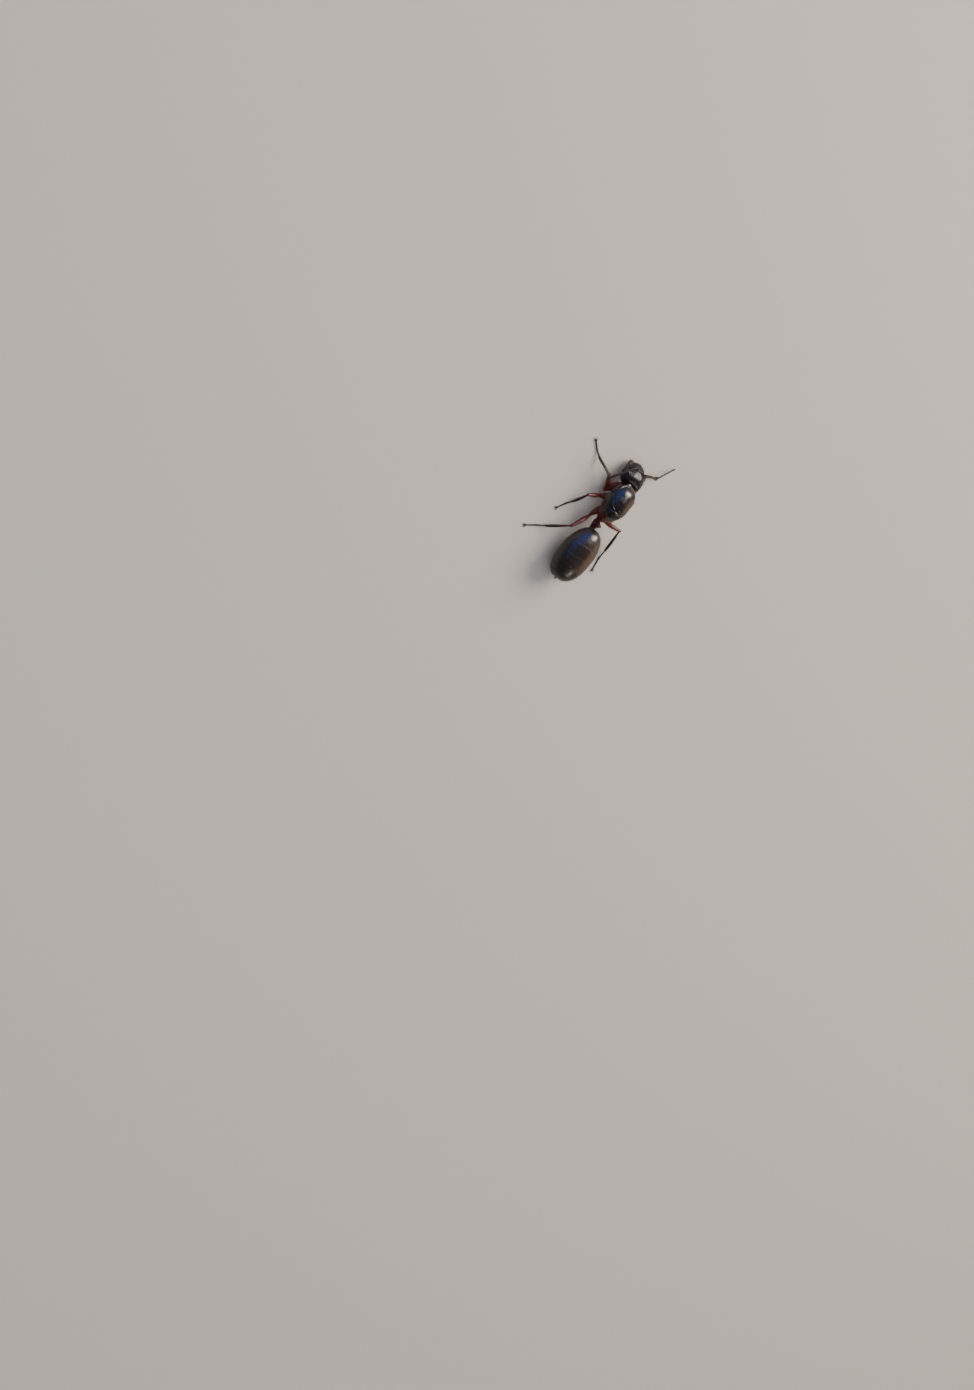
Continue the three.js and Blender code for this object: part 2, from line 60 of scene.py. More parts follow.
HEAD_CENTRE = (3.62, 2.15)  # forward and up
HEAD_PITCH = math.radians(30)  # how far the face leans down
HEAD_LENGTH = 3.1
HEAD_HALF_WIDTH = 1.55
HEAD_HALF_DEPTH = 1.12
HEAD_WIDTHS = [0.97, 1, 0.98, 0.87, 0.68]  # shares of the half width, from the back to the mouth
HEAD_TOPS = [0.84, 1, 1.02, 0.98, 0.75]  # and of the half depth, above and below
HEAD_FLOORS = [0.85, 0.98, 0.9, 0.8, 0.7]
OCCIPUT_HOLLOW = 0.2  # how far the back margin is drawn in at its middle
FACE_SQUARENESS = 2.5  # of the face's cross-section, where 2 is an ellipse

# On the head, places are along, aside and up in its own frame.
CLYPEUS = {"along": 0.95, "half_length": 0.66, "half_width": 0.82}
EYE_AT = (-0.3, 1.21, 0.56)
EYE_HALF = (0.43, 0.25, 0.35)
LENS_BALL, LENS_CUTS = 5, 3  # divisions of the geodesic ball of lenses, and cuts of its edges
LENS_HALF_WIDTH, LENS_SAG = 0.04, 0.018  # shares of the eye's half sizes
OCELLI = [(-0.95, 0.0), (-1.15, 0.24), (-1.15, -0.24)]
OCELLUS_HALF, OCELLUS_SUNK = (0.085, 0.085, 0.07), 0.02
SOCKET = (0.3, 0.5, 0.85)
MANDIBLE = {"root": 1.1, "up": -0.3, "length": 1.45, "bend": 0.8, "outer": 1.08, "inmost": -0.04,
            "root_inset": 0.46, "half_thickness": 0.21, "crossing": 0.05}
TEETH, TOOTH_SPACING = 5, 0.13  # the spacing is a share of the blade's length
LIP = ((1.4, 0, -0.05), (0.2, 0.55, 0.3))  # centre and half sizes
TONGUE = ((1.0, 0, -0.72), (0.5, 0.42, 0.26))
PALPS = [(0.36, 1.25, 6), (0.16, 0.8, 4)]  # how far aside, their reach and their joints
PALP_RADII = [0.03, 0.042, 0.04]

ANTENNAE = {  # rise and waist in the head's frame, then elbow and whip on the body's
    "left": {"rise": (0.22, 0.85, 1.42), "waist": (-1, 1.95, 0.65), "elbow": (1.69, 2.82, 2.9),
             "whip": [(2.4, 4.05, 2.35), (3.3, 5.4, 1.3)]},
    "right": {"rise": (0.4, 0.9, 1.4), "waist": (0.95, 1.8, 1.05), "elbow": (5.2, -3.27, 1.5),
              "whip": [(6.5, -4.05, 1.25), (7.75, -5.1, 0.5)]},
}
SCAPE_RADII = [0.13, 0.085, 0.09, 0.1, 0.105, 0.115, 0.125, 0.14, 0.13]
BULB_RADIUS, BULB_RISE = 0.15, 0.08
WHIP_JOINTS = 11
FIRST_WHIP_JOINT = 0.13  # share of the whip's length
WHIP_RADIUS, WHIP_SWELLING = 0.105, 0.012  # at the elbow, and how much thicker at the tip
WHIP_CORE_RADII = [0.07, 0.07, 0.06]
WHIP_SKIN_RADII = [0.09, 0.115, 0.12, 0.1]  # of the plain whip that its hairs grow on
WHIP_GAPS = (0.004, 0.012)  # before and after a joint, as shares of the whip's length
BEAD_TAPER = [0.6, 0.82, 0.94, 1, 0.86]
TIP_TAPER = [0.6, 0.84, 0.95, 0.97, 0.88, 0.7, 0.45]

THORAX_FRONT, THORAX_BACK = 2.4, -2.95
THORAX_HALF_WIDTH = 1.66
THORAX_TOPS = [2.6, 3.85, 4.5, 4.7, 4.72, 4.62, 4.45, 3.9]  # from back to front
THORAX_FLOORS = [1.75, 1.5, 1.42, 1.42, 1.5, 1.72, 2.15, 2.9]
THORAX_WIDTHS = [0.62, 0.73, 0.9, 0.99, 1, 0.98, 0.92, 0.8]
THORAX_BLUNTNESS = 3.4
BREAST_KEEL = 0.22  # share by which the breast is narrower than the sides
PLATE_RISE = 0.06
SCUTUM = ((0.76, 0.0, 4.3), (1.8, 1.36, 1.05))  # centre and half sizes, forward, left and up
SCUTELLUM = ((-1.72, 0.0, 4.3), (0.58, 0.84, 0.85))
SEAM_UP = 3
COLLAR_SEAM = (1.22, -0.255)  # how far forward the suture lies at SEAM_UP, and its slant
WAIST_SEAM = (-1.52, 0.255)
SUTURE_DEPTH, SUTURE_WIDTH = 0.07, 0.055
SPIRACLE = (-2.2, 1.12, 3.0)
GLAND_BULGE = (-1.95, 1.2, 1.85)
WING_SCARS = [(0.75, 1.58, 3.3), (-0.75, 1.53, 3.25)]
STUB_HALF = (0.25, 0.14)  # along her and up
WING_SCALE_AT, WING_SCALE_HALF = (0.3, -0.03, 0.14), (0.16, 0.1, 0.1)  # its place from the scar
NECK = [(-1.1, 0, -0.25), (1.9, 0, 2.75)]  # its root in the head's frame, its end on the body's
NECK_RADII = [0.62, 0.6, 0.64]
HIP_PLATE = ((1.75, 0.42, 2.15), (0.75, 0.48, 0.62))

PETIOLE = {"front": -2.7, "back": -4.5, "scale": -3.58, "top": 3.0, "stalk_top": 2.12,
           "floor": 1.47, "half_width": 0.36, "scale_half_width": 0.64}

GASTER_FRONT = -4.25
GASTER_LENGTH = 7.4
GASTER_HALF_WIDTH = 2.18
GASTER_HALF_HEIGHT = 1.86
GASTER_WIDTHS = [0.8, 1, 1.02, 0.97]  # shares of the half width, from front to back
GASTER_UP = 2.8  # its middle line at the front
GASTER_DROOP = 0.6  # how much lower the middle line is at the tail
GASTER_BLUNTNESS = 2.65
BELLY_SHARE = 0.94  # the belly's height as a share of the back's
GASTER_SEAMS = [0, 0.29, 0.52, 0.71, 0.86, 1]
PLATE_THICKNESS, PLATE_ROUNDING, RIM_WIDTH = 0.05, 0.04, 0.14
PLATE_TUCKED, PLATE_LIP = 0.03, 0.012  # shares of the length under the plate before, and over the next
PLATE_SUNK, PLATE_PROUD = 0.03, 0.02  # at its front and its back
BELLY_DEEPER, BELLY_PROUD = 0.05, -0.04  # how much more its front is sunk, and its back
BACK_WRAP, BELLY_INSET = 0.3, 0.12  # angles past the widest line, and short of it
MEMBRANE_DEPTH = 0.11
NOZZLE_RADII = [0.22, 0.2, 0.13]

LEGS = {  # hip, trochanter, knee and ankle as forward, left and up, then the toe on the floor
    "fore_left": [(1.7, 0.7, 1.75), (0.5, 1.35, 1), (2.04, 2.58, 1.95), (3, 4.28, 0.42), (4.3, 5.75)],
    "mid_left": [(-0.1, 0.7, 1.65), (-0.5, 1.4, 1.05), (-1.42, 3.35, 2.2), (-3.05, 3.54, 0.42),
                 (-4.75, 4.6)],
    "hind_left": [(-1.75, 0.55, 1.75), (-2.75, 0.85, 1.15), (-5.55, 2.55, 2), (-7.4, 4.52, 0.45),
                  (-8.8, 6.6)],
    "fore_right": [(1.7, -0.7, 1.75), (0.95, -1.45, 0.98), (2.75, -2.05, 1.45), (4.75, -2.5, 0.42),
                   (5.45, -3.85)],
    "mid_right": [(-0.1, -0.7, 1.65), (-0.5, -1.4, 1.05), (1.25, -2.75, 1.4), (-0.75, -3.05, 0.42),
                  (-2.2, -2.6)],
    "hind_right": [(-1.75, -0.55, 1.75), (-2.75, -0.75, 1.15), (-2.45, -3.3, 1.85), (-5.3, -4.1, 0.5),
                   (-8, -4.5)],
}
# Half thicknesses of the leg pieces, from the root to the tip of each.
COXA_FORE_RADII = [0.46, 0.5, 0.42, 0.3]
COXA_RADII = [0.4, 0.44, 0.37, 0.27]
KNOB_RADII, KNOB_SHARE = [0.2, 0.22, 0.17], 0.13  # of the trochanter, and its share of the thigh
FEMUR_RADII = [0.15, 0.22, 0.31, 0.345, 0.33, 0.29, 0.25, 0.22]
TIBIA_RADII = [0.15, 0.12, 0.17, 0.185, 0.2, 0.215, 0.2, 0.16]
THIGH_BOW, SHIN_BOW = 0.3, 0.12
THIGH_WIDE, SHIN_WIDE = 0.82, 0.85  # their widths as shares of their heights
SPUR_RADII = [0.035, 0.025, 0.01]
FOOT_RADIUS = 0.11
FOOT_SKIN_RADII = [0.1, 0.11, 0.1, 0.09]  # of the plain foot that its hairs grow on
TARSUS_JOINTS = [0, 0.42, 0.6, 0.74, 0.86, 1]
TARSUS_GAPS = (0.005, 0.012)
TARSUS_TAPER = [0.6, 0.74, 0.88, 1]
CLAW_CURVE = [(0.24, 0.16, 0.18), (0.46, 0.22, 0.035)]  # ahead of the toe, aside and off the floor
CLAW_RADII = [0.07, 0.055, 0.035, 0.012]
PAD_REACH, PAD_UP, PAD_RADII = 0.26, 0.08, [0.05, 0.055, 0.075]

# Kinds of hair: length, half thickness at the root, and lean from 0, upright, to 1, flat.
HAIRS = {
    "head": (0.28, 0.008, 0.35), "fringe": (0.3, 0.008, 0.35), "head_down": (0.09, 0.0045, 0.75),
    "thorax": (0.24, 0.008, 0.4), "thorax_down": (0.1, 0.0045, 0.75),
    "back_row": (0.34, 0.008, 0.6), "belly_row": (0.3, 0.008, 0.6),
    "gaster_down": (0.15, 0.0045, 0.82), "nozzle": (0.18, 0.007, 0.8),
    "feeler": (0.09, 0.0055, 0.7), "thigh": (0.14, 0.0055, 0.6), "shin": (0.15, 0.0055, 0.65),
    "foot": (0.12, 0.0055, 0.6),
}
LIMB_HAIRS = {"feeler": 150, "thigh": 110, "shin": 170, "foot": 200}  # how many on each
HAIR_LENGTHS = (0.7, 1.15)  # from the shortest to the longest, as shares of their kind's
HAIR_ASTRAY, HAIR_WAVER = 0.22, 0.1  # how far they stray from their lie, sideways and any way
HAIR_BEND = 0.45  # how far a tip bends over, as a share of the hair
HAIR_SUNK = 0.02  # depth of the roots
LOWEST_HAIR = 0.02  # above the floor
BAKE_PATCH = 0.0015  # half size of a hair's patch on the coat's map, which is 1 across

MESH = {  # rows along and columns round each form
    "head": (260, 320), "ocellus": (16, 20), "mandible": (149, 36), "lip": (20, 32), "palp": (12, 10),
    "scape": (90, 20), "bulb": (18, 20), "bead": (22, 18), "whip_core": (60, 12),
    "thorax": (260, 240), "wing_stub": (39, 32), "wing_scale": (18, 24), "neck": (30, 40),
    "petiole": (110, 72), "back_plate": (60, 96), "belly_plate": (40, 96), "membrane": (80, 90),
    "nozzle": (30, 32), "hip": (40, 36), "knob": (24, 28), "thigh": (60, 32), "shin": (60, 26),
    "spur": (16, 10), "tarsus": (26, 18), "claw": (24, 12), "pad": (20, 14),
}

# The frame's point under the middle of the thorax.
scutum_low, scutum_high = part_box("mesoscutum")
ZERO = np.array([
    (scutum_low.x + scutum_high.x) / 2,
    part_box("gaster_1")[0].y + GASTER_FRONT * MM,
    0.0,
])


def in_frame(spots):
    """Points in the frame's metres from forward, left and up in millimetres."""
    forward, left, up = np.moveaxis(np.asarray(spots, float), -1, 0)
    return np.stack([left, -forward, up], axis=-1) * MM + ZERO


# ---- Curves and small forms ----
def through(knots, t):
    """A smooth value, or point, through evenly spaced knots for t from 0 to 1."""
    knots = np.asarray(knots, float)
    last = len(knots) - 1
    span = np.clip(t, 0, 1) * last
    i = np.minimum(span.astype(int) if isinstance(span, np.ndarray) else int(span), last - 1)
    u = span - i
    if knots.ndim > 1:
        u = np.asarray(u)[..., None]
    start, end = knots[i], knots[i + 1]
    before = (end - knots[np.maximum(i - 1, 0)]) / 2
    after = (knots[np.minimum(i + 2, last)] - start) / 2
    square = 3 * (end - start) - 2 * before - after
    cube = 2 * (start - end) + before + after
    return start + before * u + square * u**2 + cube * u**3


def blunt(t, power):
    """0 at both ends and 1 in the middle, squarer as power grows."""
    return np.maximum(0, 1 - np.abs(2 * t - 1) ** power) ** (1 / power)


def crowded(steps):
    """Steps from 0 to 1 that crowd towards both ends."""
    return (1 - np.cos(np.linspace(0, math.pi, steps + 1))) / 2


def even(steps):
    return np.linspace(0, 1, steps + 1)


def mound(x, width):
    """1 where x is 0, and nearly 0 once it is twice the width away."""
    return np.exp(-((x / width) ** 2))


def swell(x, low, high):
    """Rises smoothly from 0 at low to 1 at high."""
    u = np.clip((x - low) / (high - low), 0, 1)
    return u * u * (3 - 2 * u)


def uneven(spots, size):
    """A gentle unevenness from -1 to 1, with swells about size across."""
    x, y, z = np.moveaxis(spots, -1, 0) * (FULL_TURN / size)
    waves = np.sin(x + 1.3 * np.sin(0.7 * y)) + np.sin(1.1 * y + 1.7 * np.sin(0.6 * z))
    return (waves + np.sin(0.9 * z + 1.1 * np.sin(0.8 * x))) / 3


def unit(vectors):
    return vectors / (np.linalg.norm(vectors, axis=-1, keepdims=True) + 1e-12)


def flip(spot, hand):
    """A spot of the left side, or its mirror on the right."""
    return (spot[0], hand * spot[1], spot[2])


def from_spot(spots, spot):
    """How far each point is from a named spot, which both sides of the body have."""
    mirrored = spots.copy()
    mirrored[..., 1] = np.abs(mirrored[..., 1])
    return np.linalg.norm(mirrored - np.array(spot), axis=-1)


# ---- Shapes ----
def normals(shape, t, a):
    """Unit normals of a shape that point away from its far side."""
    step = 3e-4
    t = np.clip(t, 4 * step, 1 - 4 * step)
    along = shape(t + step, a) - shape(t - step, a)
    around = shape(t, a + step) - shape(t, a - step)
    normal = unit(np.cross(around, along))
    outward = shape(t, a) - shape(t, a + math.pi)
    return normal * np.where(np.sum(normal * outward, -1, keepdims=True) < 0, -1, 1)


def raised(shape, relief):
    """The shape with its surface lifted along its normals by its relief."""
    def lifted(t, a):
        spots = shape(t, a)
        return spots + normals(shape, t, a) * relief(spots)[..., None]
    return lifted


def egg(centre, half_sizes, place=lambda spots: spots):
    """A round lump with the given half sizes. place sets it in the frame that it is drawn in."""
    def shape(t, a):
        ring = np.sin(math.pi * t)
        spots = np.stack([-np.cos(math.pi * t), ring * np.cos(a), ring * np.sin(a)], -1)
        return place(spots * np.array(half_sizes) + np.array(centre))
    return shape


def limb(spine, radii, wide=1.0):
    """A round-ended limb along a spine, with its half thicknesses from root to tip. wide is its
    width as a share of its height."""
    ends = np.array([spine(0.0), spine(1.0)])
    length = np.linalg.norm(ends[1] - ends[0])
    across = unit(np.cross([0, 0, 1], ends[1] - ends[0]))
    caps = (radii[0] / length, radii[-1] / length)
    tips = (spine(0.02) - ends[0], ends[1] - spine(0.98))

    def shape(t, a):
        t = -caps[0] + (1 + caps[0] + caps[1]) * np.asarray(t, float)
        held = np.clip(t, 0, 1)
        past = (t - held) * length
        step = 1e-3
        ahead = spine(np.minimum(held + step, 1)) - spine(np.maximum(held - step, 0))
        heading = unit(np.where((t < 0.5)[..., None], tips[0], tips[1]))
        centre = spine(held) + heading * past[..., None]
        lift = unit(np.cross(ahead, across))
        side = unit(np.cross(lift, ahead))
        share = np.where(t < 0, -t / caps[0], np.where(t > 1, (t - 1) / caps[1], 0))
        radius = through(radii, held) * np.sqrt(np.maximum(0, 1 - share**2))
        spread = wide * np.cos(a)[..., None] * side + np.sin(a)[..., None] * lift
        return centre + radius[..., None] * spread
    return shape


def line(start, end, bow=0.0):
    """A spine from one point to another, bowed upwards at its middle by half of bow."""
    start, end = np.array(start, float), np.array(end, float)
    middle = (start + end) / 2 + np.array([0, 0, bow])

    def spine(t):
        t = np.asarray(t, float)[..., None]
        return start * (1 - t) ** 2 + 2 * middle * t * (1 - t) + end * t**2
    return spine


def part_of(spine, start, end):
    return lambda t: spine(start + (end - start) * np.asarray(t, float))


def corners(form, spaced=crowded):
    """t and a at the corners of a closed form's mesh."""
    rows, columns = MESH[form]
    return np.meshgrid(spaced(rows), np.linspace(0, FULL_TURN, columns, endpoint=False), indexing="ij")


def grid_of(shape, form):
    """Points of a closed shape, on the mesh of a named form."""
    return shape(*corners(form))


# ---- Pieces ----
def piece(name, grids, look, stands_for=()):
    """One piece of the ant from closed grids of points, each with the tone of its surface."""
    points, faces, tones = [], [], []
    count = 0
    for grid, tone in grids:
        start, end = (np.broadcast_to(rim.mean(axis=1, keepdims=True), rim.shape)
                      for rim in (grid[:1], grid[-1:]))
        grid = np.concatenate([start, grid, end])
        rows, columns = grid.shape[:2]
        tone = np.broadcast_to(tone, (rows - 2, columns))
        tones.append(np.concatenate([tone[:1], tone, tone[-1:]]).ravel())
        points.append(in_frame(grid).reshape(-1, 3))
        at = count + np.arange((rows - 1) * columns).reshape(rows - 1, columns)
        beside = np.roll(at, -1, axis=1)
        faces.append(np.stack([at, beside, beside + columns, at + columns], -1).reshape(-1, 4))
        count += rows * columns
    mesh = mesh_of(name, points, faces, tones)
    welded = bmesh.new()
    welded.from_mesh(mesh)
    bmesh.ops.remove_doubles(welded, verts=welded.verts, dist=1e-5 * MM)
    bmesh.ops.recalc_face_normals(welded, faces=welded.faces)
    welded.to_mesh(mesh)
    welded.free()
    return finished(name, mesh, look, stands_for)


def mesh_of(name, points, faces, tones):
    """A mesh from arrays of points and faces, which keeps each point's tone from 0 to 1."""
    mesh = bpy.data.meshes.new(name)
    mesh.from_pydata(np.concatenate(points).tolist(), [], np.concatenate(faces).tolist())
    attribute = mesh.attributes.new("tone", "FLOAT", "POINT")
    attribute.data.foreach_set("value", np.concatenate(tones).astype(np.float32))
    return mesh


def placed(name, data):
    """A new object in the scene, for a mesh, a light or a camera."""
    made = bpy.data.objects.new(name, data)
    bpy.context.scene.collection.objects.link(made)
    return made


def finished(name, mesh, look, stands_for=()):
    """A mesh as a smooth piece of the ant, with its material and the nodes it replaces."""
    mesh.shade_smooth()
    mesh.materials.append(look)
    made = placed(name, mesh)
    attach(made, "root")
    if stands_for:
        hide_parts(*stands_for)
    return made


# ---- Materials ----
CHITIN_IOR = 1.56
CLOUD_SIZE, CLOUD_STRENGTH = 1.1, 0.36  # mottling of the colour: its size in mm, and its share of tone
SMEAR_SIZE = 0.3  # of duller and shinier patches, in mm


def linear(hex_colour):
    """The linear colour of an sRGB hex value."""
    parts = [int(hex_colour[i:i + 2], 16) / 255 for i in (1, 3, 5)]
    return (*[c / 12.92 if c <= 0.04045 else ((c + 0.055) / 1.055) ** 2.4 for c in parts], 1.0)


def add_node(tree, kind, inputs=None, **settings):
    """Adds a node with its settings. An input that is another node's output is linked."""
    made = tree.nodes.new("ShaderNode" + kind)
    for name, value in settings.items():
        setattr(made, name, value)
    for name, value in (inputs or {}).items():
        if isinstance(value, bpy.types.NodeSocket):
            tree.links.new(value, made.inputs[name])
        else:
            made.inputs[name].default_value = value
    return made


def bare_material(name):
    """A new material, and the place on the ant that its patterns are drawn from."""
    made = bpy.data.materials.new(name)
    made.use_nodes = True
    made.node_tree.nodes.clear()
    return made, add_node(made.node_tree, "TexCoord").outputs["Object"]


def cuticle(name, stains, gloss, cell, depth, stretch=(1, 1, 1), dulled=0.0, shine=0.5, coat=0.0):
    """Hardened chitin. stains gives its colour at each tone, gloss the lowest and the highest
    roughness, cell the width of the fine netted grain and depth its height in millimetres.
    dulled is how much rougher the chitin gets as its tone goes from 0 to 1."""
    made, where = bare_material(name)
    tree = made.node_tree
    grain_at = add_node(tree, "Mapping", {"Vector": where, "Scale": stretch}).outputs[0]

    tone = add_node(tree, "Attribute", attribute_name="tone").outputs["Fac"]
    cloud = add_node(tree, "TexNoise",
                     {"Vector": where, "Scale": 1 / (CLOUD_SIZE * MM), "Detail": 5.0})
    drift = add_node(tree, "Math",
                     {0: cloud.outputs["Fac"], 1: CLOUD_STRENGTH, 2: -CLOUD_STRENGTH / 2},
                     operation="MULTIPLY_ADD")
    mottled = add_node(tree, "Math", {0: tone, 1: drift.outputs[0]}, operation="ADD",
                       use_clamp=True)
    ramp = add_node(tree, "ValToRGB", {"Fac": mottled.outputs[0]})
    elements = ramp.color_ramp.elements
    while len(elements) < len(stains):
        elements.new(0.5)
    for element, (at, colour) in zip(elements, stains.items()):
        element.position = at
        element.color = linear(colour)

    smear = add_node(tree, "TexNoise",
                     {"Vector": grain_at, "Scale": 1 / (SMEAR_SIZE * MM), "Detail": 3.0})
    roughness = add_node(tree, "MapRange",
                         {"Value": smear.outputs["Fac"], 1: 0.3, 2: 0.7, 3: gloss[0], 4: gloss[1]})
    matted = add_node(tree, "Math", {0: tone, 1: dulled, 2: roughness.outputs[0]},
                      operation="MULTIPLY_ADD")
    # The real net is about 0.02 mm wide, too fine to show, so cell is 3 to 10 times as coarse.
    net = add_node(tree, "TexVoronoi", {"Vector": grain_at, "Scale": 1 / (cell * MM)},
                   feature="DISTANCE_TO_EDGE")
    bump = add_node(tree, "Bump",
                    {"Height": net.outputs["Distance"], "Strength": 1.0, "Distance": depth * MM})
    skin = add_node(tree, "BsdfPrincipled", {
        "Base Color": ramp.outputs["Color"],
        "Roughness": matted.outputs[0],
        "Normal": bump.outputs["Normal"],
        "IOR": CHITIN_IOR,
        "Specular IOR Level": shine,
        "Coat Weight": coat,
        "Coat Roughness": 0.08,
    })
    add_node(tree, "OutputMaterial", {"Surface": skin.outputs[0]})
    return made


def polished_head_chitin():
    """Black chitin, polished on the crown, duller and a deep red-brown on the cheeks and the mouth."""
    stains = {0.0: "#0b090a", 0.45: "#120e0d", 0.85: "#24100c", 1.0: "#3a180e"}
    return cuticle("polished_head_chitin", stains, (0.28, 0.42), 0.09, 0.002, dulled=0.5, shine=0.28)


def two_toned_thorax_chitin():
    """Dull red-brown chitin on the sides, which darkens to polished black on the back."""
    stains = {0.0: "#4a150e", 0.35: "#30100c", 0.65: "#160c0b", 1.0: "#0c0909"}
    return cuticle("two_toned_thorax_chitin", stains, (0.4, 0.56), 0.09, 0.002, dulled=-0.18,
                   shine=0.42)


def silky_gaster_chitin():
    """Brown-black chitin with a fine cross grain, paler and straw-brown along the plates' rims."""
    stains = {0.0: "#0f0a08", 0.4: "#20130d", 0.7: "#3d1f12", 1.0: "#7d5833"}
    return cuticle("silky_gaster_chitin", stains, (0.28, 0.42), 0.12, 0.002, stretch=(0.35, 1.2, 0.35))


def red_to_black_leg_chitin():
    """Leg chitin, a clear red-brown at the hips that darkens to nearly black at the feet."""
    stains = {0.0: "#5a1e10", 0.4: "#43170d", 0.7: "#20100b", 1.0: "#120d0b"}
    return cuticle("red_to_black_leg_chitin", stains, (0.38, 0.52), 0.07, 0.003, shine=0.36)


def tough_mandible_chitin():
    """Thick jaw chitin, dark red with worn black cutting edges."""
    stains = {0.0: "#3a160c", 0.5: "#220e09", 1.0: "#0c0909"}
    return cuticle("tough_mandible_chitin", stains, (0.34, 0.48), 0.06, 0.0015, stretch=(1, 0.3, 1),
                   shine=0.34)


def eye_lens_chitin():
    """Glossy near-black lens chitin under a thin clear coat, so that the facets glint."""
    stains = {0.0: "#0d0a0a", 1.0: "#241a16"}
    return cuticle("eye_lens_chitin", stains, (0.2, 0.28), 0.2, 0.0005, coat=0.2)


def amber_ocellus_chitin():
    """The lens of an ocellus, like a bead of dark amber."""
    stains = {0.0: "#1a0e08", 1.0: "#38200f"}
    return cuticle("amber_ocellus_chitin", stains, (0.08, 0.14), 0.2, 0.0005)


def joint_membrane():
    """Soft leathery membrane between the plates, dull and a little paler than they are."""
    stains = {0.0: "#1d120d", 1.0: "#4a3323"}
    return cuticle("joint_membrane", stains, (0.5, 0.65), 0.12, 0.006)


def golden_setae():
    """Fine hairs from brown to pale gold, each in one shade, with a soft sheen."""
    stains = {0.0: "#2e1c0e", 0.5: "#5e4122", 1.0: "#8a6c42"}
    return cuticle("golden_setae", stains, (0.3, 0.4), 0.2, 0.0005)


def matt_studio_paper():
    """Pale matt paper for the floor, with a soft tooth 0.6 mm wide."""
    made, where = bare_material("matt_studio_paper")
    tree = made.node_tree
    tooth = add_node(tree, "TexNoise",
                     {"Vector": where, "Scale": 1 / (0.6 * MM), "Detail": 4.0})
    bump = add_node(tree, "Bump",
                    {"Height": tooth.outputs["Fac"], "Strength": 0.3, "Distance": 0.02 * MM})
    sheet = add_node(tree, "BsdfPrincipled", {
        "Base Color": linear("#bfb8ae"), "Roughness": 0.85, "Normal": bump.outputs["Normal"]})
    add_node(tree, "OutputMaterial", {"Surface": sheet.outputs[0]})
    return made


HEAD_LOOK = polished_head_chitin()
THORAX_LOOK = two_toned_thorax_chitin()
GASTER_LOOK = silky_gaster_chitin()
LEG_LOOK = red_to_black_leg_chitin()
JAW_LOOK = tough_mandible_chitin()
EYE_LOOK = eye_lens_chitin()
OCELLUS_LOOK = amber_ocellus_chitin()
MEMBRANE_LOOK = joint_membrane()
SETA_LOOK = golden_setae()


# ---- Head ----
def set_in_head(spots):
    """Points on the body from along, left and up in the head's own frame."""
    along, left, up = np.moveaxis(np.asarray(spots, float), -1, 0)
    cos, sin = math.cos(HEAD_PITCH), math.sin(HEAD_PITCH)
    forward = HEAD_CENTRE[0] + along * cos + up * sin
    return np.stack([forward, left, HEAD_CENTRE[1] - along * sin + up * cos], -1)


def head_breadth(t):
    """How near the head's section at t is to its full width: it has square back corners."""
    return blunt(t, np.where(t < 0.5, 5, 3))


def head_section(t):
    """Half width, height of the top and depth of the bottom of the head's section at t."""
    fullness = blunt(t, np.where(t < 0.5, 3, 4.2))  # the face stays flat down to the clypeus
    half_width = HEAD_HALF_WIDTH * through(HEAD_WIDTHS, t) * head_breadth(t)
    top = HEAD_HALF_DEPTH * through(HEAD_TOPS, t) * fullness
    bottom = HEAD_HALF_DEPTH * through(HEAD_FLOORS, t) * blunt(t, 3)
    return half_width, top, bottom


def head_capsule(t, a):
    half_width, top, bottom = head_section(t)
    side, up = np.cos(a), np.sin(a)
    hollow = OCCIPUT_HOLLOW * (1 - t) ** 3 * (1 - (head_breadth(t) * side) ** 2)
    along = (t - 0.5) * HEAD_LENGTH + hollow
    square = (np.abs(side) ** FACE_SQUARENESS + np.abs(up) ** FACE_SQUARENESS) ** (-1 / FACE_SQUARENESS)
    square = np.where(up > 0, square, 1)
    height = np.where(up > 0, top, bottom)
    return np.stack([along, half_width * side * square, height * up * square], -1)


def face_up(along, side):
    """Height of the head's top over a spot, in the head's own frame."""
    t = np.array(0.5 + along / HEAD_LENGTH)
    t = t - OCCIPUT_HOLLOW * (1 - t) ** 3 / HEAD_LENGTH
    half_width, top, _ = head_section(t)
    return float(top * (1 - abs(side / half_width) ** FACE_SQUARENESS) ** (1 / FACE_SQUARENESS))


def clypeus_edge(along, aside):
    """Below 0 on the clypeus and above 0 round it."""
    lengthwise = np.abs((along - CLYPEUS["along"]) / CLYPEUS["half_length"])
    return (lengthwise ** 3 + (aside / CLYPEUS["half_width"]) ** 3) ** (1 / 3) - 1


